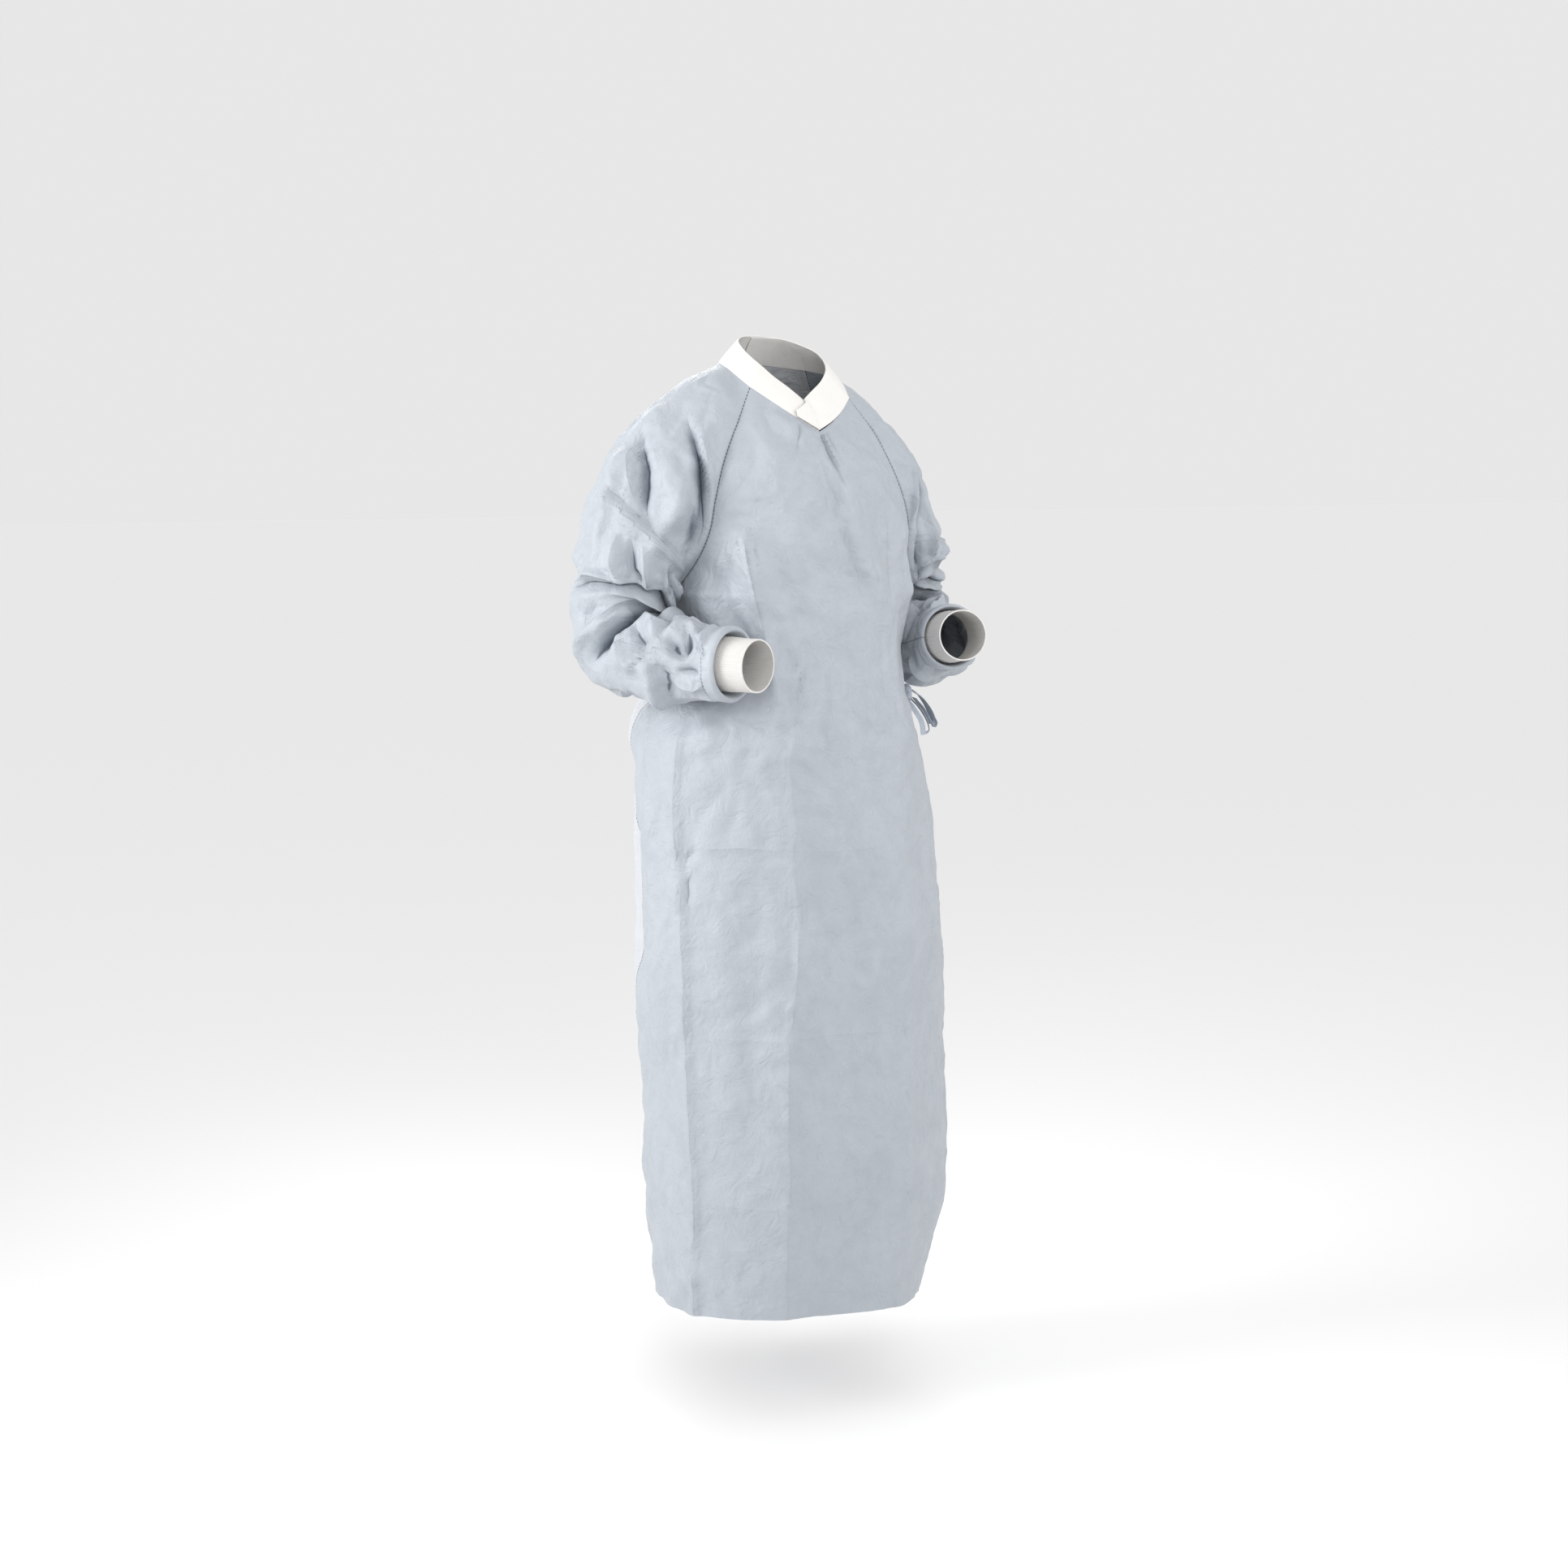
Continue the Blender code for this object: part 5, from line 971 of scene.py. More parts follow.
def ring_frame(ring):
    """The ring's middle, and its directions to the outside of the arm and to the crook."""
    fall, swing, turn = (math.radians(ring[k]) for k in ("fall", "swing", "turn"))
    outside = np.array([math.sin(fall), 0, math.cos(fall)])
    outside = np.array([outside[0] * math.cos(turn), outside[0] * math.sin(turn), outside[2]])
    ahead = np.array([-math.sin(turn), math.cos(turn), 0])
    crook = ahead * math.cos(swing) + np.array([0, 0, 1]) * math.sin(swing)
    middle = np.array([ring["out"], ring["ahead"], -ring["drop"]])
    return middle, outside, crook


def neck_edge(share):
    """The sleeve's neck edge, from its front raglan seam to its back one."""
    return along((RAGLAN_FRONT[0], *SHOULDER_NECK, RAGLAN_BACK[0]), share) * (1, 1, -1)


def cap(table, share, spread):
    """An arc over the arm between the two raglan seams; `spread` runs from -1 to 1.

    It is part of an ellipse, bent onto the neck's edge at the top, and its two ends are
    pulled onto the seams.
    """
    size = columns(CAP_COLUMNS, table, share)
    fall = math.radians(size["fall"])
    outside = np.array([math.sin(fall), 0, math.cos(fall)])
    crown = np.array([size["out"], size["ahead"], -size["drop"]])
    angle = -spread * math.radians(size["half"])
    arc = crown + size["wide"] * (np.cos(angle) - 1)[:, None] * outside
    arc = arc + size["deep"] * np.sin(angle)[:, None] * np.array([0, 1, 0])
    near_neck = 1 - float(ease(0.0, 0.16, share))
    arc = arc + near_neck * (neck_edge((spread + 1) / 2) - arc)
    aside = UNDERARM * max(0, 1 - (1 - share) / NECK_ROW)
    for end, seam in ((0, RAGLAN_FRONT), (-1, RAGLAN_BACK)):
        miss = along(seam, share) * (1, 1, -1) + (aside, 0, 0) - arc[end]
        pull = ease(0.1, 1.0, spread if end else -spread)[:, None]
        arc = arc + pull * miss
    return arc


def ellipse(ring, turned, wide, deep, ahead=0.0):
    """Points round a ring at these angles, which may lie ahead of its own plane."""
    middle, outside, crook = ring_frame(ring)
    forward = unit(np.cross(crook, outside))
    turned = np.radians(turned)[:, None]
    return (
        middle
        + ahead * forward
        + wide * np.cos(turned) * outside
        + deep * np.sin(turned) * crook
    )


def sleeve_run(places):
    """Cloth from the neck to a place of the sleeve."""
    places = np.asarray(places, float)
    return np.where(places < 1, CAP_PLACES * places, CAP_PLACES - 1 + places) * PLACE_RUN


def sleeve(caps, rings, folds, side, settings=None):
    """A sleeve's rows: arcs down to the armhole's lowest point, then rings to the end.

    A ring's last column is its first one again. The end turns in over a rounded lip.
    """
    spread = np.linspace(-1, 1, SLEEVE_COLUMNS + 1)
    shares = np.linspace(0, 1, RAGLAN_ROWS + 1)
    arcs = [cap(caps, share, spread) for share in shares]
    turned = -180 * spread
    key = [cap(caps, TUBE_FROM, spread), arcs[-1]]
    for row in rings:
        ring = dict(zip(RING_COLUMNS, row))
        key.append(ellipse(ring, turned, ring["wide"], ring["deep"]))
    key = np.array(key)
    before = CAP_PLACES * (1 - TUBE_FROM)
    straight = key[1] - before * (key[2] - key[1])
    key[0] += ease(0.55, 0.95, np.abs(spread))[:, None] * (straight - key[0])
    places = np.array([1 - before, *range(1, len(key))])
    at = np.linspace(1, len(rings) + 1, SLEEVE_STEPS * len(rings) + 1)
    tube = cubic(places, key.reshape(len(key), -1), at).reshape(len(at), -1, 3)
    grid = np.vstack([arcs, tube[1:]])
    places = np.concatenate([shares, at[1:]])[:, None] + 0 * spread
    half = columns(CAP_COLUMNS, caps, np.clip(places, 0, 1))["half"]
    angle = -spread * half
    last = len(rings) + 1
    lift = sleeve_folds(grid, places, angle, folds)
    if settings is not None:
        x, turn = SLEEVE_REACH * np.radians(angle), 2 * math.pi * SLEEVE_REACH
        run = sleeve_run(places)
        fine, crest = crease_lift(x, run, settings["creases"], turn, SLEEVE_BLUNT)
        ripple = crumple(grid * (side, -1, 1), 140)
        # Held back in the armpit, where the sleeve lies against the body.
        inside = ease(140, 172, np.abs(angle)) * (1 - ease(2.5, 4.5, places))
        held = 1 - 0.85 * inside * ease(0.75, 1.0, places)
        fine = (settings["depth"] * fine + 1.1 * settings["crumple"] * ripple) * held
        lift += fine
    ends = ease(0, 0.25, places) * ease(0, 0.5, last - places)
    ends = ends * ease(0.0, 0.16, 1 - np.abs(spread) + ease(0.95, 1.6, places))
    lift *= ends
    grid = grid + grid_normals(grid, RAGLAN_ROWS) * lift[..., None]
    ring = dict(zip(RING_COLUMNS, rings[-1]))
    turned_in = lip(grid[-1], ring, turned)
    if settings is not None:
        crest[..., 1:] *= (settings["depth"] * held * ends)[..., None]
        crest = np.concatenate([crest, (fine * ends)[..., None]], axis=-1)
        flat = np.zeros((*turned_in.shape[:2], 4)) + (CREST_FAR, 0.0, 0.0, 0.0)
        settings["crests"].append(np.vstack([crest, flat]))
    return np.vstack([grid, turned_in]) * (side, -1, 1)


def sleeve_folds(grid, places, turned, folds):
    """The broad folds: a bell across each one's line, faded out at its ends."""
    run = sleeve_run(places)
    middle = grid.mean(axis=1, keepdims=True)
    size = np.linalg.norm(grid - middle, axis=-1).mean(axis=1, keepdims=True)
    lift = np.zeros(places.shape)
    for row in folds:
        fold = dict(zip(SLEEVE_FOLD_COLUMNS, row))
        ends = sleeve_run(np.array([fold["place_a"], fold["place_b"]]))
        wrap = (turned - fold["angle_a"] + 180) % 360 - 180
        turn = np.radians(fold["angle_b"] - fold["angle_a"])
        line = np.stack(np.broadcast_arrays(ends[1] - ends[0], turn * size), axis=-1)
        here = np.stack([run - ends[0], np.radians(wrap) * size], axis=-1)
        share = (line * here).sum(-1) / (line**2).sum(-1)
        off = np.linalg.norm(here - np.clip(share, 0, 1)[..., None] * line, axis=-1)
        shape = np.exp(-BELL * (off / fold["wide"]) ** 2)
        lift = lift + fold["depth"] * shape * fold_window(np.clip(share, 0, 1))
    return lift


def lip(end, ring, turned):
    """Rows that turn in over the sleeve's end towards the cuff, on a cubic through LIP."""
    steps = [dict(zip(LIP_COLUMNS, row)) for row in LIP]
    rows = [end]
    for step in steps:
        sizes = (ring["wide"], ring["deep"])
        wide, deep = (size + step["inward"] * (CUFF_SOCKET - size) for size in sizes)
        rows.append(ellipse(ring, turned, wide, deep, step["ahead"]))
    rows = np.array(rows)
    at = np.linspace(0, len(steps), LIP_STEPS * len(steps) + 1)[1:]
    return cubic(np.arange(len(rows)), rows.reshape(len(rows), -1), at).reshape(len(at), -1, 3)


def cuff(ring, side):
    """A knitted cuff: a tube from inside the sleeve's end out past its lip, with its ribs.

    The ribs are |sin| waves round it, faded in from the cuff's hidden end.
    """
    turned = np.linspace(180, -180, CUFF_COLUMNS_ROUND + 1)
    at = np.linspace(CUFF[0][0], CUFF[-1][0], CUFF_ROWS + 1)
    radius = columns(CUFF_COLUMNS, CUFF, at)["radius"]
    rib = RIB * (np.abs(np.sin(np.radians(turned) * CUFF_RIBS / 2)) - 0.6)
    found = dict(zip(RING_COLUMNS, ring))
    middle, outside, crook = ring_frame(found)
    forward = unit(np.cross(crook, outside))
    turned = np.radians(turned)[None, :, None]
    size = (radius[:, None] + rib)[..., None]
    rings = middle + at[:, None, None] * forward
    rings = rings + size * (np.cos(turned) * outside + np.sin(turned) * crook)
    return rings * (side, -1, 1)


def neckline(side):
    """The neck's seam from the middle of the front round to the lap's edge at the back."""
    edge = seam_angle(np.array(RAGLAN_FRONT[0]))
    half = FRONT_COLUMNS // 2
    angle = np.linspace(0, 1, half + 1)[None, :] * edge
    front = chest_rows(RAGLAN_FRONT, FRONT_MIDDLE, np.zeros(1), side * angle)[0]
    shoulder = neck_edge(np.linspace(0, 1, SLEEVE_COLUMNS + 1)) * (side, -1, 1)
    back = back_panel(side)[0]
    return np.vstack([front, shoulder[1:-1], back])


def neck_band(side):
    """Rows from the neck's seam up to the collar's edge, from the front to the back.

    They run straight between the two, but for a roll of sin(pi s) at a share s of the way.
    """
    low = neckline(side)
    turned = np.degrees(np.arctan2(side * low[:, 0], -low[:, 1]))
    turned[len(turned) // 2 :] %= 360
    edge = columns(COLLAR_COLUMNS, COLLAR, turned)
    high = polar(side * np.radians(turned), edge["drop"], edge["radius"])
    share = np.linspace(0, 1, BAND_ROWS + 1)[:, None, None]
    grid = low + share * (high - low)
    lift = BAND_ROLL * np.sin(math.pi * share) + share * lap_lift(side, turned)[:, None]
    if side > 0:
        lift = lift + BAND_LIFT * ease(-40, 0, -turned)[:, None]
    grid = grid + side * grid_normals(grid) * lift
    return np.hstack([band_lap(), grid]) if side > 0 else grid


def band_lap():
    """The left band's end: columns that follow the right band, each cut shorter."""
    right = neck_band(-1)
    right = right - grid_normals(right) * BAND_LIFT
    rows = np.arange(BAND_ROWS + 1)
    laps = [
        cubic(rows, right[:, column], rows * (1 - column / (NECK_LAP * FRONT_COLUMNS)))
        for column in range(round(BAND_LAP * FRONT_COLUMNS), 0, -1)
    ]
    return np.stack(laps, axis=1)


def posture(points):
    """The wearer's left shoulder hangs lower, the neck leans right and the hem dips."""
    x, y, z = np.moveaxis(points, -1, 0)
    out = np.clip(x, 0, None)
    fall = LEFT_SHOULDER_FALL * out**2 / (out + 0.04) * ease(-0.32, -0.06, z)
    sway = NECK_SWAY * ease(-0.07, 0.0, z)
    turned = np.arctan2(x, -y) + math.radians(HEM_TURN)
    dip = HEM_DIP * np.sin(turned) ** 2 * ease(1.05, 1.29, -z)
    return stack(x - sway, y, z - fall - dip)


def strap(settings):
    """The tie's strap, laid on the body's cloth from the bow back to the lap's edge."""
    angle = np.linspace(STRAP[0][0], STRAP[-1][0], STRAP_STEPS + 1)
    row = columns(STRAP_COLUMNS, STRAP, angle)
    across = np.linspace(-0.5, 0.5, STRAP_ROWS + 1)[:, None]
    drop = row["drop"] + across * row["width"]
    laid = skirt_points(np.radians(angle) + 0 * across, drop, settings)
    out = -grid_normals(laid)
    lift = TIE_CLEAR + 1.6 * LAYER * ease(142, 152, angle)
    pleat = PLEAT * np.cos(2 * math.pi * (1.6 * across + 0.15 * np.sin(angle / 9)))
    return laid + out * (lift + pleat)[..., None]


def ribbon(name):
    """One ribbon of the bow, as rows along it, with a lengthwise pleat that comes and goes."""
    middles, width, across = RIBBONS[name]
    middles = np.array(middles) * (1, -1, -1)
    share = np.linspace(0, 1, RIBBON_STEPS * (len(middles) - 1) + 1)
    path = along(middles, share)
    across = unit(np.array(across) * (1, -1, -1))
    heading = unit(np.gradient(path, axis=0))
    across = unit(across - (heading @ across)[:, None] * heading)
    spread = np.linspace(-0.5, 0.5, RIBBON_COLUMNS + 1)[:, None]
    grid = path[:, None] + across[:, None] * spread * width
    out = np.cross(across, heading)
    pleat = 0.07 * width * (1 - np.abs((spread[:, 0] * 4) % 2 - 1) * 2)
    return grid + out[:, None] * (pleat * ease(0, 0.2, share)[:, None] * 0.6)[..., None]


def grid_normals(grid, closed_from=None):
    """Unit normals of a grid, rows by columns, from its central differences.

    From the row `closed_from` on, a row's last column is its first one again.
    """
    down = np.gradient(grid, axis=0)
    across = np.gradient(grid, axis=1)
    if closed_from is not None:
        wrap = 0.5 * (grid[closed_from:, 1] - grid[closed_from:, -2])
        across[closed_from:, 0] = across[closed_from:, -1] = wrap
        down[closed_from:, -1] = down[closed_from:, 0]
    return unit(np.cross(across, down))


def share_normals(*ends):
    """Gives pieces that meet at a seam one normal there. Each end is (normals, index)."""
    total = unit(sum(normals[index] for normals, index in ends))
    for normals, index in ends:
        normals[index] = total


def pull_back(grid, edges, rows=None):
    """Moves the named edges of a grid half a seam's gap into it."""
    moved = grid.copy()
    half = SEAM_GAP / 2
    if "start" in edges:
        moved[:rows, 0] += half * unit(grid[:rows, 1] - grid[:rows, 0])
    if "end" in edges:
        moved[:rows, -1] += half * unit(grid[:rows, -2] - grid[:rows, -1])
    if "top" in edges:
        moved[0] += half * unit(grid[1] - grid[0])
    return moved


def worn(sizes, creases, scatter, seed, reach, run, low, high):
    """What a piece's surface function needs; it appends the crests that it finds."""
    half_turn = math.pi * reach
    strewn = scattered(scatter, seed, (-half_turn, low), (half_turn, high))
    return {
        "creases": unrolled(creases, reach, run) + strewn,
        "depth": sizes.crease_depth,
        "crumple": sizes.crumple_depth,
        "crests": [],
    }


def body_settings(sizes):
    """What the body's surface functions need; on the body a crease's place is its drop."""
    return worn(sizes, BODY_CREASES, BODY_SCATTER, 7, BODY_REACH, float, 0.02, 1.32)


def cut_pieces(sizes):
    """Grids and outward normals of every sewn piece, made one along every seam."""
    crests = {}
    settings = body_settings(sizes)
    front = posture(front_panel(settings))
    crests["front"] = np.vstack(settings["crests"])
    backs, sleeves = {}, {}
    for side in SIDES:
        settings["crests"] = []
        backs[side] = posture(back_panel(side, settings))
        crests["back", side] = np.vstack(settings["crests"])
    for side, caps, rings, folds, table in (
        (-1, CAP_RIGHT, RINGS_RIGHT, RIGHT_FOLDS, RIGHT_CREASES),
        (1, CAP_LEFT, RINGS_LEFT, LEFT_FOLDS, LEFT_CREASES),
    ):
        settings = worn(
            sizes, table, SLEEVE_SCATTER, 19 + side, SLEEVE_REACH, sleeve_run, 0.03, 0.43
        )
        settings["depth"] *= SLEEVE_BOLD
        sleeves[side] = posture(sleeve(caps, rings, folds, side, settings))
        crests["sleeve", side] = np.vstack(settings["crests"])
    bands = {side: posture(neck_band(side)) for side in SIDES}

    of_front = -grid_normals(front)
    of_back = {side: -side * grid_normals(backs[side]) for side in SIDES}
    of_sleeve = {side: -side * grid_normals(sleeves[side], RAGLAN_ROWS) for side in SIDES}
    of_band = {side: side * grid_normals(bands[side]) for side in SIDES}
    seam, below = slice(0, RAGLAN_ROWS), slice(RAGLAN_ROWS, None)
    half = FRONT_COLUMNS // 2
    for side, column in ((-1, 0), (1, -1)):
        back, tube, band = of_back[side], of_sleeve[side], of_band[side]
        middle = band.shape[1] - (SLEEVE_COLUMNS + BACK_COLUMNS[side]) - 1
        behind = middle + SLEEVE_COLUMNS
        on_front = slice(half, -1) if side > 0 else slice(half, 0, -1)
        for ends in (
            ((of_front, (seam, column)), (tube, (seam, 0))),
            ((back, (seam, 0)), (tube, (seam, -1))),
            ((of_front, (below, column)), (back, (below, 0))),
            ((of_front, (0, on_front)), (band, (0, slice(middle - half, middle)))),
            ((tube, (0, slice(1, -1))), (band, (0, slice(middle + 1, behind)))),
            ((back, (0, slice(1, None))), (band, (0, slice(behind + 1, None)))),
            ((of_front, (0, column)), (tube, (0, 0)), (band, (0, middle))),
            ((back, (0, 0)), (tube, (0, -1)), (band, (0, behind))),
        ):
            share_normals(*ends)
    sewn = ("start", "end", "top")
    found = {"front": (pull_back(front, sewn), of_front, crests["front"])}
    for side in SIDES:
        back = pull_back(backs[side], ("start", "top"))
        tube = pull_back(sleeves[side], sewn, RAGLAN_ROWS)
        found["back", side] = (back, of_back[side], crests["back", side])
        found["sleeve", side] = (tube, of_sleeve[side], crests["sleeve", side])
        found["band", side] = (pull_back(bands[side], ("top",)), of_band[side], None)
    return found


CUT = {}


def pieces_for(sizes):
    """The cut pieces for these sizes, worked out once and kept for the next operator."""
    key = (round(sizes.crease_depth, 6), round(sizes.crumple_depth, 6))
    if key not in CUT:
        CUT.clear()
        CUT[key] = cut_pieces(sizes)
    return CUT[key]


def cloth_map(grid):
    """Lengths of cloth across each row from its start, and down each column from its top."""
    across = np.zeros(grid.shape[:2])
    across[:, 1:] = np.cumsum(np.linalg.norm(np.diff(grid, axis=1), axis=-1), axis=1)
    down = np.zeros(grid.shape[:2])
    down[1:] = np.cumsum(np.linalg.norm(np.diff(grid, axis=0), axis=-1), axis=0)
    return across, down


def seam_map(across, down, sides, hem=None):
    """How far each point lies from the nearest line of stitches, and how far along it.

    `sides` names the edges that are sewn, "start" or "end", and `hem` is how far the last
    row's stitches lie above it.
    """
    off = np.full(across.shape, 1.0)
    run = down.copy()
    lines = []
    if "start" in sides:
        lines.append((across, down[:, :1] + 0 * across))
    if "end" in sides:
        lines.append((across[:, -1:] - across, down[:, -1:] + 0 * across))
    if hem is not None:
        lines.append((np.abs(down[-1:] - down - hem), across))
    for gap, length in lines:
        run = np.where(gap < off, length, run)
        off = np.minimum(off, gap)
    return np.stack([off, run], axis=-1)


def shell(
    name, grid, normals, thick, material, crests=None, closed_from=None, seams=(), hem=None
):
    """A thin closed wall: the grid moved out and in by half of `thick`, joined at its rims.

    Its map "cloth" runs across and down in metres, its map "seam" gives the distance from
    the nearest stitches and the way along them. Its attributes "crest" and "lift" hold the
    first three values of `crests` and the fourth, how far its creases lift the cloth.
    From the row `closed_from` on, a row's last column is its first one again.
    """
    rows, cols = grid.shape[:2]
    other = rows * cols
    points = np.concatenate([grid + side * normals * thick / 2 for side in (1, -1)])
    points = points.reshape(-1, 3)
    raw = np.arange(other).reshape(rows, cols)
    index = raw.copy()
    if closed_from is not None:
        index[closed_from:, -1] = index[closed_from:, 0]

    def cells(of):
        return np.stack([of[:-1, :-1], of[:-1, 1:], of[1:, 1:], of[1:, :-1]], axis=-1)

    def rims(of):
        if closed_from is None:
            loops = [np.concatenate([of[0], of[1:, -1], of[-1, -2::-1], of[-2::-1, 0]])]
        else:
            top = [of[0], of[1 : closed_from + 1, -1], of[:closed_from, 0][::-1]]
            loops = [np.concatenate(top), of[-1, ::-1]]
        walls = [(a[:-1], a[:-1] + other, a[1:] + other, a[1:]) for a in loops]
        return np.vstack([np.stack(wall, axis=-1) for wall in walls])

    def faces(of):
        flat = cells(of).reshape(-1, 4)
        found = np.vstack([flat[:, ::-1], flat + other, rims(of)[:, ::-1]])
        turned = (normals * grid_normals(grid, closed_from)).sum() > 0
        return found[:, ::-1] if turned else found

    quads, loose = faces(index), faces(raw)
    used, quads = np.unique(quads, return_inverse=True)
    quads = quads.reshape(-1, 4)
    across, down = cloth_map(grid)
    maps = {
        "cloth": np.stack([across, down], axis=-1),
        "seam": seam_map(across, down, seams, hem),
    }
    maps = {k: v.reshape(-1, 2)[loose % other] for k, v in maps.items()}
    made = piece(name, points[used], quads, maps, material)
    if crests is not None:
        values = crests.reshape(-1, 4)[used % other].astype(np.float32)
        layer = made.data.attributes.new("crest", "FLOAT_VECTOR", "POINT")
        layer.data.foreach_set("vector", values[:, :3].ravel())
        layer = made.data.attributes.new("lift", "FLOAT", "POINT")
        layer.data.foreach_set("value", values[:, 3].copy())
    return made


def placed(mesh, material):
    """An object at the origin that shows this mesh in this material."""
    if not len(mesh.polygons):
        raise RuntimeError(f"{mesh.name} has no faces")
    mesh.materials.append(material)
    made = bpy.data.objects.new(mesh.name, mesh)
    bpy.context.scene.collection.objects.link(made)
    return made


def piece(name, points, quads, maps, material):
    """A smooth-shaded object at the origin, with its UV maps and its material."""
    mesh = bpy.data.meshes.new(name)
    mesh.vertices.add(len(points))
    mesh.vertices.foreach_set("co", points.astype(np.float32).ravel())
    mesh.loops.add(quads.size)
    mesh.loops.foreach_set("vertex_index", quads.astype(np.int32).ravel())
    mesh.polygons.add(len(quads))
    mesh.polygons.foreach_set(
        "loop_start", np.arange(0, quads.size, quads.shape[1], dtype=np.int32)
    )
    for label, values in maps.items():
        layer = mesh.uv_layers.new(name=label)
        layer.uv.foreach_set("vector", values.astype(np.float32).ravel())
    mesh.update(calc_edges=True)
    mesh.validate()
    mesh.shade_smooth()
    mesh.set_sharp_from_angle(angle=math.radians(SHARP_EDGE))
    return placed(mesh, material)


def ball(name, centre, size, pinch, material, rows=40, cols=72):
    """A closed ball of latitude rows between two poles, with its radius scaled by `pinch`."""
    lat = np.linspace(0, math.pi, rows + 1)[1:-1, None]
    lon = np.linspace(0, 2 * math.pi, cols, endpoint=False)[None]
    way = stack(np.sin(lat) * np.cos(lon), np.sin(lat) * np.sin(lon), np.cos(lat) + 0 * lon)
    way = np.vstack([way.reshape(-1, 3), [[0, 0, 1], [0, 0, -1]]])
    points = np.array(centre) + way * np.array(size) * pinch(way)[:, None]
    index = np.arange((rows - 1) * cols).reshape(rows - 1, cols)
    ahead = np.roll(index, -1, axis=1)
    quads = np.stack([index[:-1], index[1:], ahead[1:], ahead[:-1]], axis=-1).reshape(-1, 4)
    top, bottom = index.size, index.size + 1
    faces = quads.tolist()
    faces += np.stack([np.full(cols, top), index[0], ahead[0]], axis=-1).tolist()
    faces += np.stack([np.full(cols, bottom), ahead[-1], index[-1]], axis=-1).tolist()
    mesh = bpy.data.meshes.new(name)
    mesh.from_pydata(points.tolist(), [], faces)
    mesh.validate()
    mesh.shade_smooth()
    return placed(mesh, material)


def linear(colour):
    """A screen colour from 0 to 255 as the linear one that a shader takes."""
    value = np.array(colour) / 255
    return tuple(np.where(value <= 0.04045, value / 12.92, ((value + 0.055) / 1.055) ** 2.4))


class Value:
    """A number or colour that runs through a shader. Sums and products of it are Math nodes."""

    def __init__(self, tree, socket):
        self.tree, self.socket = tree, socket

    def math(self, operation, *others):
        slots = dict(enumerate((self, *others)))
        return put_out(self.tree, "ShaderNodeMath", 0, slots, operation=operation)

    def __add__(self, other):
        return self.math("ADD", other)

    def __sub__(self, other):
        return self.math("SUBTRACT", other)

    def __mul__(self, other):
        return self.math("MULTIPLY", other)

    def __truediv__(self, other):
        return self.math("DIVIDE", other)

    def __abs__(self):
        return self.math("ABSOLUTE")

    def ranged(self, low, high, to_low=0.0, to_high=1.0):
        """A smooth step from `to_low` to `to_high` as this runs from `low` to `high`."""
        ends = {"From Min": low, "From Max": high, "To Min": to_low, "To Max": to_high}
        ends["Value"] = self
        return put_out(
            self.tree, "ShaderNodeMapRange", 0, ends, interpolation_type="SMOOTHSTEP"
        )


def feed(socket, value):
    """Links a value to a socket, or sets a plain number or colour on it."""
    if isinstance(value, Value):
        value.tree.links.new(value.socket, socket)
    else:
        socket.default_value = value


def add(tree, kind, inputs=(), **settings):
    """A shader node with settings on it, and values fed to its inputs."""
    made = tree.nodes.new(kind)
    for key, setting in settings.items():
        setattr(made, key, setting)
    for key, value in dict(inputs).items():
        feed(made.inputs[key], value)
    return made


def put_out(tree, kind, output, inputs=(), **settings):
    """One output of a new shader node."""
    return Value(tree, add(tree, kind, inputs, **settings).outputs[output])


def parts(tree, kind, output, **settings):
    """The three parts of the vector that a new shader node puts out."""
    vector = put_out(tree, kind, output, **settings)
    split = add(tree, "ShaderNodeSeparateXYZ", {"Vector": vector})
    return [Value(tree, socket) for socket in split.outputs]


def mixed(tree, share, first, second, blend="MIX"):
    """A blend of two colours by a share of the second."""
    slots = {0: share, 6: first, 7: second}
    return put_out(tree, "ShaderNodeMix", 2, slots, data_type="RGBA", blend_type=blend)


def built_once(name, inputs, outputs):
    """Turns a function into one that gives the node group of this name, built only once.

    The function takes the group's tree and its inputs, and gives its outputs.
    """

    def wrap(fill):
        def build():
            tree = bpy.data.node_groups.get(name)
            if tree is None:
                tree = bpy.data.node_groups.new(name, "ShaderNodeTree")
                new_socket = tree.interface.new_socket
                for label, default, words in inputs:
                    socket = new_socket(label, in_out="INPUT", socket_type="NodeSocketFloat")
                    socket.default_value, socket.description = default, words
                for label, words in outputs:
                    socket = new_socket(label, in_out="OUTPUT", socket_type="NodeSocketFloat")
                    socket.description = words
                start, end = (tree.nodes.new(f"NodeGroup{way}") for way in ("Input", "Output"))
                given = [Value(tree, socket) for socket in start.outputs[: len(inputs)]]
                for slot, value in enumerate(fill(tree, *given)):
                    feed(end.inputs[slot], value)
            return tree

        return build

    return wrap


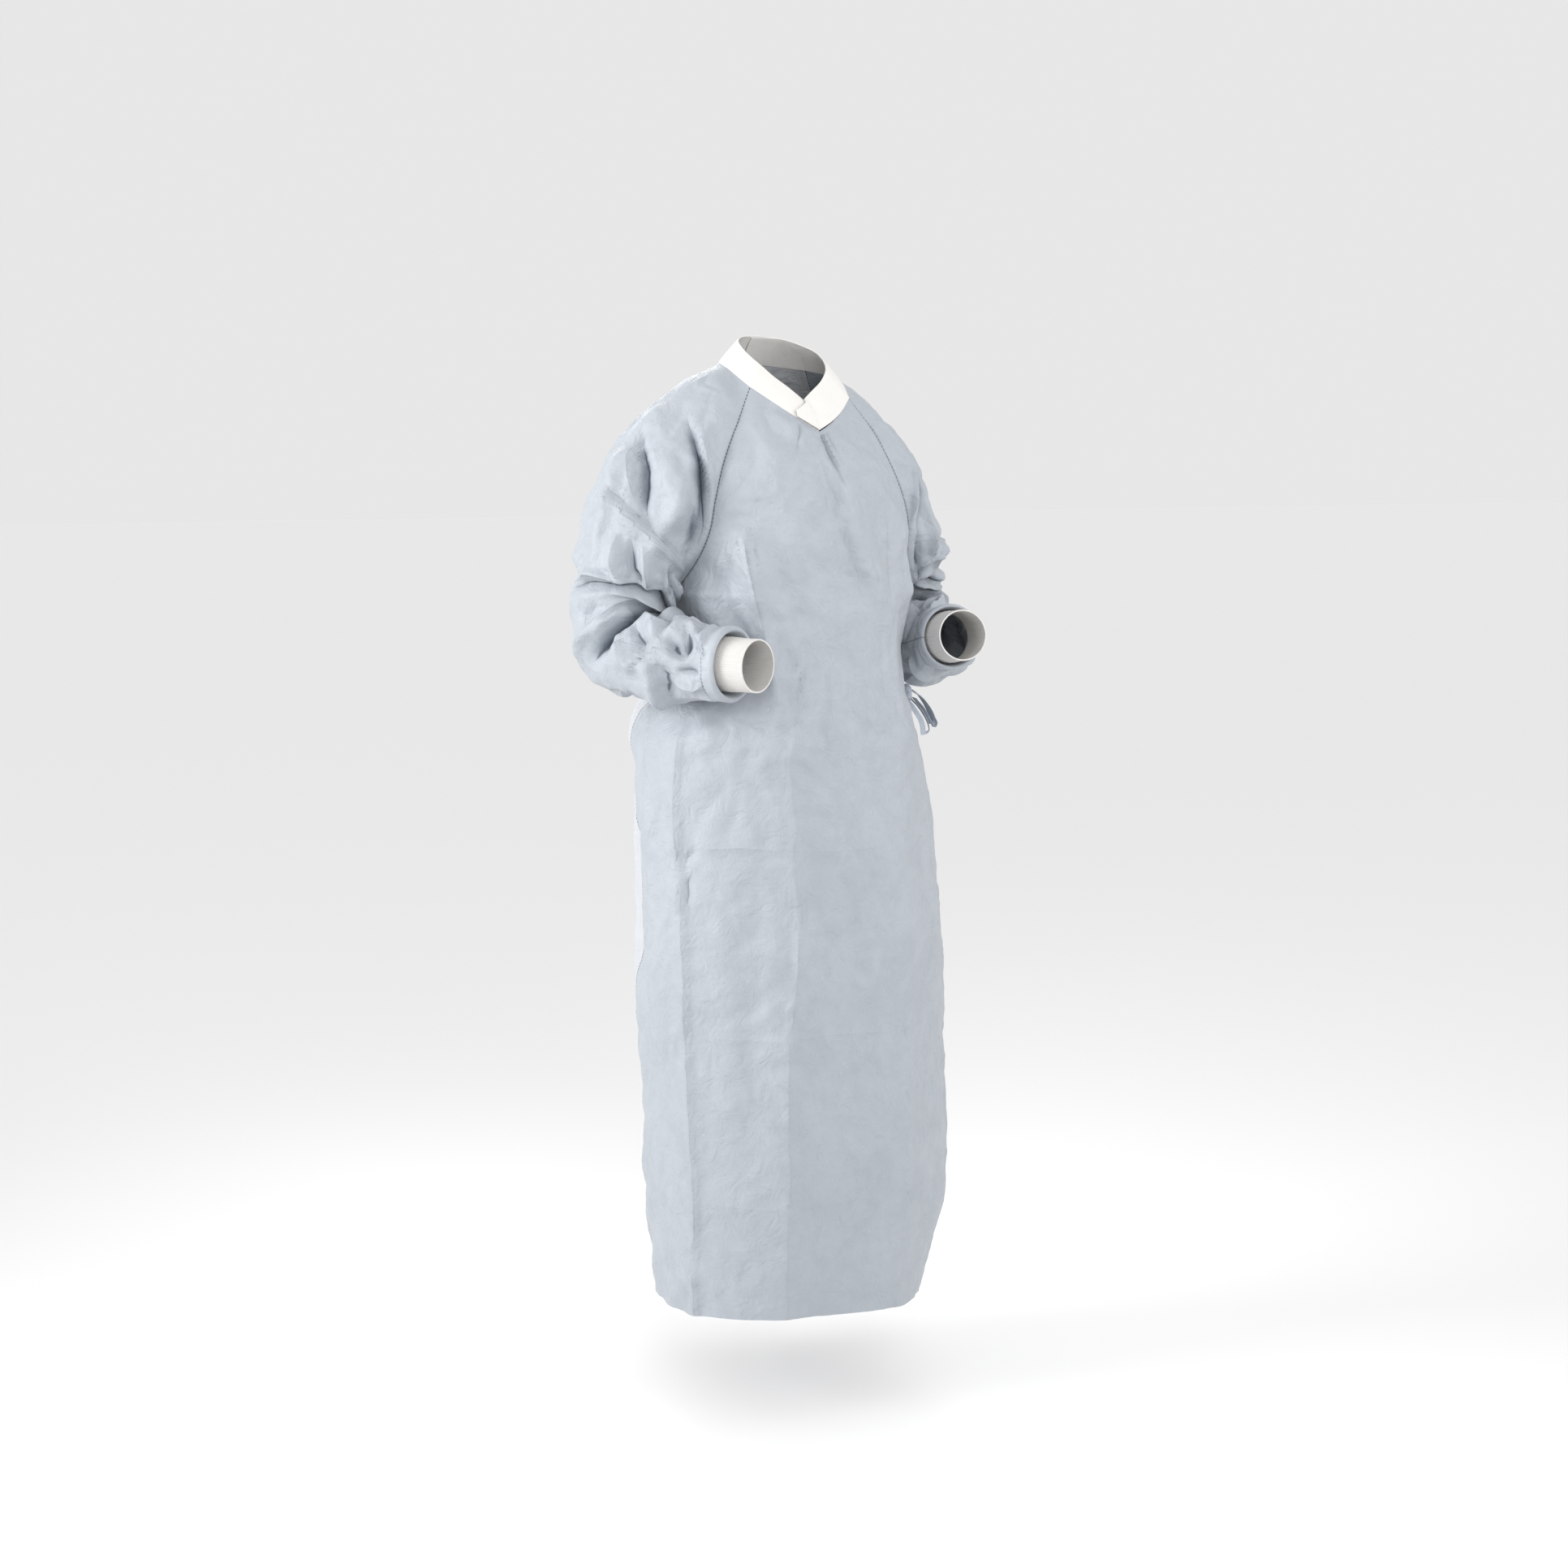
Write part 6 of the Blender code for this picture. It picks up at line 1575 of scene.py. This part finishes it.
@built_once(
    "Non-woven fibres",
    (
        ("Fibre Count", 900.0, "Fibres in a metre of cloth"),
        ("Bond Count", 620.0, "Pressed bond points in a metre of cloth"),
        ("Crinkle Count", 150.0, "Fine crinkles in a metre of cloth"),
        ("Crumple Count", 34.0, "Broader crinkles in a metre of cloth"),
    ),
    (
        ("Mottle", "Slow change of tone, from 0 to 1"),
        ("Height", "Relief of the cloth's face"),
    ),
)
def fibre_group(tree, fibre_count, bond_count, crinkle_count, crumple_count):
    """Non-woven cloth: matted fibres, pressed bond points, fine crinkles and slow mottling."""
    place = put_out(tree, "ShaderNodeTexCoord", "Object")

    def texture(kind, output, scale, **inputs):
        return put_out(tree, kind, output, {"Vector": place, "Scale": scale, **inputs})

    def noise_at(scale, detail, rough, distort=0.0):
        inputs = {"Detail": detail, "Roughness": rough, "Distortion": distort}
        return texture("ShaderNodeTexNoise", "Fac", scale, **inputs)

    fibres = noise_at(fibre_count, 2.0, 0.6, 0.6)
    crinkles = abs(noise_at(crinkle_count, 4.0, 0.62, 0.4) - 0.5)
    broad = abs(noise_at(crumple_count, 3.0, 0.55, 0.7) - 0.5)
    bonds = texture("ShaderNodeTexVoronoi", "Distance", bond_count, Randomness=0.35)
    mottle = noise_at(11.0, 4.0, 0.62, 0.8) * 0.62 + noise_at(46.0, 3.0, 0.6) * 0.38
    height = fibres * 0.22 + bonds.ranged(0.12, 0.42) * 0.16 + crinkles * 1.9 + broad * 9.0
    return mottle.ranged(0.34, 0.66), height


@built_once(
    "Stitched seam",
    (
        ("Stitch Count", 190.0, "Stitches in a metre of seam"),
        ("Half Width", 0.0008, "Half the line's width in metres"),
    ),
    (
        ("Thread", "1 on a stitch and 0 off it"),
        ("Groove", "1 at the bottom of the seam's groove"),
    ),
)
def seam_group(tree, stitch_count, half_width):
    """A stitched seam: dashes of thread in a shallow groove, from the map named seam."""
    off, run, _ = parts(tree, "ShaderNodeUVMap", "UV", uv_map="seam")
    share = off / half_width
    dash = abs((run * stitch_count).math("FRACT") - 0.5).ranged(0.36, 0.28)
    return share.ranged(1.25, 0.75) * dash, share.ranged(3.6, 0.2)


# Its last two outputs are masks of painted shade: a dark line in a sharp trough, whose half
# width its input sets, and darkening deep in a fold.
@built_once(
    "Crease crest and shade",
    (("Crevice Width", 1.1, "Half width of a crevice's dark line"),),
    (
        ("Height", "Height of the crest in metres"),
        ("Crevice Shade", "1 at the bottom of a sharp trough"),
        ("Hollow Shade", "1 deep in a fold, by the attribute named lift"),
    ),
)
def crest_and_shade_group(tree, crevice_shade_width):
    """The sharp crest or trough of a crease, from the attribute named crest, with masks of
    painted shade for its crevice and, from the attribute named lift, for deep folds.

    Its height is that at the line times sqrt(d^2 + 1) - |d|, with the distance d counted in
    the grid's own rounding: what a sharp crest has over one that is rounded off.
    """
    away, sharp, crevice_shade_strength = parts(tree, "ShaderNodeAttribute", "Vector", attribute_name="crest")
    lift = put_out(tree, "ShaderNodeAttribute", "Fac", attribute_name="lift")
    far = abs(away)
    height = ((far * far + 1.0).math("SQRT") - far) * sharp
    # Painted shade along a sharp trough, and deep in folds by their lift.
    share = far / (crevice_shade_strength * crevice_shade_width + 0.02)
    crevice_shade = (crevice_shade_strength * 2.0).math("MINIMUM", 1.0) * share.ranged(1.0, 0.1)
    return height, crevice_shade, lift.ranged(*HOLLOW_SHADE_LIFTS)


@built_once(
    "Knitted loops",
    (("Loop Count", 700.0, "Rows of loops in a metre of the knit"),),
    (("Height", "Relief of the loops"),),
)
def knit_group(tree, loop_count):
    """Rows of knitted loops between a cuff's ribs, from the map named cloth."""
    across, down, _ = parts(tree, "ShaderNodeUVMap", "UV", uv_map="cloth")
    turn = loop_count * (2 * math.pi)
    return (((down * turn).math("SINE") + abs((across * turn).math("SINE"))) * 0.5,)


def cloth_material(name, colours):
    """The material of a cloth: its fibres' tone and relief, and its stitches or its loops.

    Sewn cloth also gets painted shade: darker tints in its deep folds and along sharp troughs.
    """
    made = bpy.data.materials.get(name)
    if made:
        return made
    colour, rough, mottled, relief, sheen, kind = FINISHES[name]
    made = bpy.data.materials.new(name)
    made.use_nodes = True
    tree = made.node_tree
    shader = tree.nodes["Principled BSDF"]
    shader.inputs["Roughness"].default_value = rough
    shader.inputs["Specular IOR Level"].default_value = 0.32
    if sheen:
        shader.inputs["Sheen Weight"].default_value = sheen
        shader.inputs["Sheen Roughness"].default_value = 0.5

    def laid(group, *outputs):
        placed = add(tree, "ShaderNodeGroup", node_tree=group)
        return [Value(tree, placed.outputs[output]) for output in outputs]

    base = np.array(getattr(colours, colour))
    low, high = ((*np.minimum(base * (1 + share), 1), 1) for share in (-mottled, mottled))
    mottle, height = laid(fibre_group(), "Mottle", "Height")
    tone, height = mixed(tree, mottle, low, high), height * relief
    if kind == "sewn":
        thread, groove = laid(seam_group(), "Thread", "Groove")
        crest, crevice_shade, hollow_shade = laid(crest_and_shade_group(), "Height", "Crevice Shade", "Hollow Shade")
        tone = mixed(tree, thread * THREAD_SHOWN, tone, (*colours.stitch, 1))
        height = height + (groove * -GROOVE + crest)
        # Painted shade: both masks multiply a darker tint into the tone where folds and troughs
        # lie in shade.
        for mask, tint in ((crevice_shade, CREVICE_SHADE_TINT), (hollow_shade, HOLLOW_SHADE_TINT)):
            tone = mixed(tree, mask, tone, (*tint, 1), "MULTIPLY")
    elif kind == "knitted":
        (loops,) = laid(knit_group(), "Height")
        height = height * 0.3 + loops * relief
    feed(shader.inputs["Base Color"], tone)
    feed(shader.inputs["Roughness"], mottle.ranged(0.0, 1.0, rough + 0.05, rough - 0.05))
    bump = {"Strength": 1.0, "Distance": 1.0, "Height": height}
    feed(shader.inputs["Normal"], put_out(tree, "ShaderNodeBump", "Normal", bump))
    return made


def thickness(label, words, size, least, most):
    """A property that holds how thick a cloth is."""
    return bpy.props.FloatProperty(
        name=label,
        description=words,
        default=size,
        min=least,
        max=most,
        unit="LENGTH",
        precision=5,
    )


def depth_scale(label, words, most):
    """A property that makes folds deeper or flatter."""
    return bpy.props.FloatProperty(
        name=label, description=words, default=1.0, min=0.0, max=most, subtype="FACTOR"
    )


def colour(label, words, screen):
    """A property that holds a cloth's colour; its default is given as a screen colour."""
    return bpy.props.FloatVectorProperty(
        name=label,
        description=words,
        default=linear(screen),
        size=3,
        min=0.0,
        max=1.0,
        subtype="COLOR",
    )


def power(label, words, watts):
    """A property that holds a light's power."""
    return bpy.props.FloatProperty(
        name=label, description=words, default=watts, min=0.0, unit="POWER"
    )


class GownSizes(bpy.types.PropertyGroup):
    """Sizes of the cloth and of its folds."""

    cloth: thickness("Cloth", "Thickness of the gown's cloth", 0.0006, 0.0002, 0.002)
    band: thickness("Neck band", "Thickness of the folded neck band", 0.0014, 0.0005, 0.003)
    knit: thickness("Knit", "Thickness of the knitted cuffs", 0.0018, 0.0008, 0.003)
    crease_depth: depth_scale("Creases", "Scale of the creases' depths", 1.5)
    crumple_depth: depth_scale("Crumple", "Scale of the paper-like crumple's depth", 2.0)


class GownColours(bpy.types.PropertyGroup):
    """Colours of the gown's cloths."""

    gown: colour("Gown", "Front and sleeves", (167, 173, 180))
    back: colour("Back", "Back panels", (188, 191, 195))
    tie: colour("Tie", "Waist tie", (160, 168, 179))
    band: colour("Neck band", "Folded band at the neck", (226, 224, 221))
    knit: colour("Cuffs", "Ribbed knit of the cuffs", (224, 222, 219))
    stitch: colour("Stitches", "Thread of the seams", (72, 82, 94))


class GownStudio(bpy.types.PropertyGroup):
    """The stage's lights and floor."""

    key: power("Key light", "Power of the large soft light at the wearer's right", 18.4)
    fill: power("Fill light", "Power of the lights before, beside and behind the wearer", 4.3)
    sky: bpy.props.FloatProperty(
        name="Surround",
        description="Strength of the white surround",
        default=0.80,
        min=0.0,
        max=2.0,
    )
    floor: bpy.props.FloatProperty(
        name="Floor",
        description="Height of the floor under the wearer's feet",
        default=-1.44,
        unit="LENGTH",
    )


def sew(context, name, grid, normals, crests=None, thick="cloth", **how):
    """The shell of a sewn piece, with its cloth's thickness and finish."""
    finish = cloth_material(SEWN[name][1], context.scene.gown_colours)
    thick = getattr(context.scene.gown_sizes, thick)
    return shell(name, grid, normals, thick, finish, crests, **how)


def dress(made, **more):
    """Attaches a piece to the root and hides the solid that it stands for."""
    node, finish, held, flat, area = SEWN[made.name]
    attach(made, "root")
    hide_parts(node)


class GOWN_OT_front(bpy.types.Operator):
    """Cut and fold the front panel"""

    bl_idname = "gown.front"
    bl_label = "Front panel"

    def execute(self, context):
        cut = pieces_for(context.scene.gown_sizes)["front"]
        dress(sew(context, "gown_front", *cut, seams=("start", "end"), hem=HEM_DEPTH))
        return {"FINISHED"}


class GOWN_OT_backs(bpy.types.Operator):
    """Cut and fold the two back panels"""

    bl_idname = "gown.backs"
    bl_label = "Back panels"

    def execute(self, context):
        for side, name in SIDES.items():
            cut = pieces_for(context.scene.gown_sizes)["back", side]
            dress(sew(context, f"gown_back_{name}", *cut, seams=("start",), hem=HEM_DEPTH))
        return {"FINISHED"}


class GOWN_OT_sleeves(bpy.types.Operator):
    """Cut and fold the two sleeves"""

    bl_idname = "gown.sleeves"
    bl_label = "Sleeves"

    def execute(self, context):
        edges = {"closed_from": RAGLAN_ROWS, "seams": ("start", "end"), "hem": SLEEVE_HEM}
        for side, name in SIDES.items():
            cut = pieces_for(context.scene.gown_sizes)["sleeve", side]
            dress(sew(context, f"gown_sleeve_{name}", *cut, **edges))
        return {"FINISHED"}


class GOWN_OT_bands(bpy.types.Operator):
    """Fold the two halves of the neck band"""

    bl_idname = "gown.bands"
    bl_label = "Neck band"

    def execute(self, context):
        for side, name in SIDES.items():
            cut = pieces_for(context.scene.gown_sizes)["band", side]
            dress(sew(context, f"gown_band_{name}", *cut, thick="band"))
        return {"FINISHED"}


class GOWN_OT_cuffs(bpy.types.Operator):
    """Knit the two ribbed cuffs"""

    bl_idname = "gown.cuffs"
    bl_label = "Cuffs"

    def execute(self, context):
        for (side, name), rings in zip(SIDES.items(), (RINGS_RIGHT, RINGS_LEFT)):
            grid = cuff(rings[-1], side)
            out = -side * grid_normals(grid, 0)
            dress(sew(context, f"gown_cuff_{name}", grid, out, thick="knit", closed_from=0))
        return {"FINISHED"}


class GOWN_OT_tie(bpy.types.Operator):
    """Lay the waist tie round the left side and tie its bow"""

    bl_idname = "gown.tie"
    bl_label = "Waist tie"

    def execute(self, context):
        laid = strap(body_settings(context.scene.gown_sizes))
        made = sew(context, "gown_tie_strap", laid, -grid_normals(laid))
        knot = ball(
            "gown_tie_knot",
            np.array(KNOT) * (1, -1, -1),
            KNOT_SIZE,
            lambda way: 1
            - 0.16 * np.exp(-((way[:, 2] / 0.30) ** 2))
            + 0.07 * np.sin(5 * way[:, 1] + 3 * way[:, 0])
            + 0.035 * np.abs(np.sin(9 * way[:, 2] + 4 * way[:, 1])),
            made.data.materials[0],
        )
        dress(knot)
        dress(made, with_pieces=[knot])
        for name in RIBBONS:
            laid = ribbon(name)
            dress(sew(context, f"gown_{name}", laid, grid_normals(laid)))
        return {"FINISHED"}


class GOWN_OT_stage(bpy.types.Operator):
    """Set the floor, the lights and the camera"""

    bl_idname = "gown.stage"
    bl_label = "Stage"

    def execute(self, context):
        scene, studio = context.scene, context.scene.gown_studio
        sides = (-FLOOR_REACH, FLOOR_REACH)
        corners = [(x, y, studio.floor) for y in sides for x in sides]
        mesh = bpy.data.meshes.new("floor")
        mesh.from_pydata(corners, [], [(0, 1, 3, 2)])
        paint = bpy.data.materials.new("floor paint")
        paint.use_nodes = True
        shader = paint.node_tree.nodes["Principled BSDF"]
        shader.inputs["Base Color"].default_value = (*FLOOR_PAINT, 1)
        shader.inputs["Roughness"].default_value = 0.9
        shader.inputs["Emission Color"].default_value = (1.0, 1.0, 1.0, 1)
        shader.inputs["Emission Strength"].default_value = FLOOR_GLOW * studio.sky
        placed(mesh, paint)

        world = bpy.data.worlds.new("surround")
        world.use_nodes = True
        sky = world.node_tree.nodes["Background"]
        sky.inputs["Color"].default_value = (1.0, 1.0, 1.0, 1)
        sky.inputs["Strength"].default_value = studio.sky
        scene.world = world

        def aimed(name, data, place, aim):
            made = bpy.data.objects.new(name, data)
            made.location = place
            heading = Vector(aim) - made.location
            made.rotation_euler = heading.to_track_quat("-Z", "Y").to_euler()
            scene.collection.objects.link(made)
            return made

        for name, source, share, place, size, spread in LIGHTS:
            lamp = bpy.data.lights.new(name, "AREA")
            lamp.energy = share * getattr(studio, source)
            lamp.size, lamp.spread = size, math.radians(spread)
            aimed(name, lamp, place, CHEST)

        lens = bpy.data.cameras.new("camera")
        lens.lens, lens.sensor_width, lens.shift_x = CAMERA_LENS, CAMERA_SENSOR, CAMERA_SHIFT
        turn = math.radians(CAMERA_TURN)
        east, north = CAMERA_DISTANCE * math.sin(turn), -CAMERA_DISTANCE * math.cos(turn)
        scene.camera = aimed("camera", lens, (east, north, CAMERA_HEIGHT), CAMERA_AIM)
        scene.view_settings.view_transform = "Standard"
        return {"FINISHED"}


class GOWN_PT_panel(bpy.types.Panel):
    """The gown's pieces and their sizes."""

    bl_idname = "GOWN_PT_panel"
    bl_label = "Surgical gown"
    bl_space_type = "VIEW_3D"
    bl_region_type = "UI"
    bl_category = "Gown"

    def draw(self, context):
        for group in GROUPS:
            owner, box = getattr(context.scene, group), self.layout.box()
            for key in owner.__annotations__:
                box.prop(owner, key)
        for operator in OPERATORS:
            self.layout.operator(operator.bl_idname)


OPERATORS = (
    GOWN_OT_stage,
    GOWN_OT_front,
    GOWN_OT_backs,
    GOWN_OT_sleeves,
    GOWN_OT_bands,
    GOWN_OT_cuffs,
    GOWN_OT_tie,
)
GROUPS = {"gown_sizes": GownSizes, "gown_colours": GownColours, "gown_studio": GownStudio}


def register():
    for kind in (*GROUPS.values(), *OPERATORS, GOWN_PT_panel):
        bpy.utils.register_class(kind)
    for key, kind in GROUPS.items():
        setattr(bpy.types.Scene, key, bpy.props.PointerProperty(type=kind))


def unregister():
    for key in GROUPS:
        delattr(bpy.types.Scene, key)
    for kind in (GOWN_PT_panel, *reversed(OPERATORS), *GROUPS.values()):
        bpy.utils.unregister_class(kind)


def main():
    register()
    bpy.ops.gown.stage()
    bpy.ops.gown.front()
    bpy.ops.gown.backs()
    bpy.ops.gown.sleeves()
    bpy.ops.gown.bands()
    bpy.ops.gown.cuffs()
    bpy.ops.gown.tie()


if __name__ == "__main__":
    main()
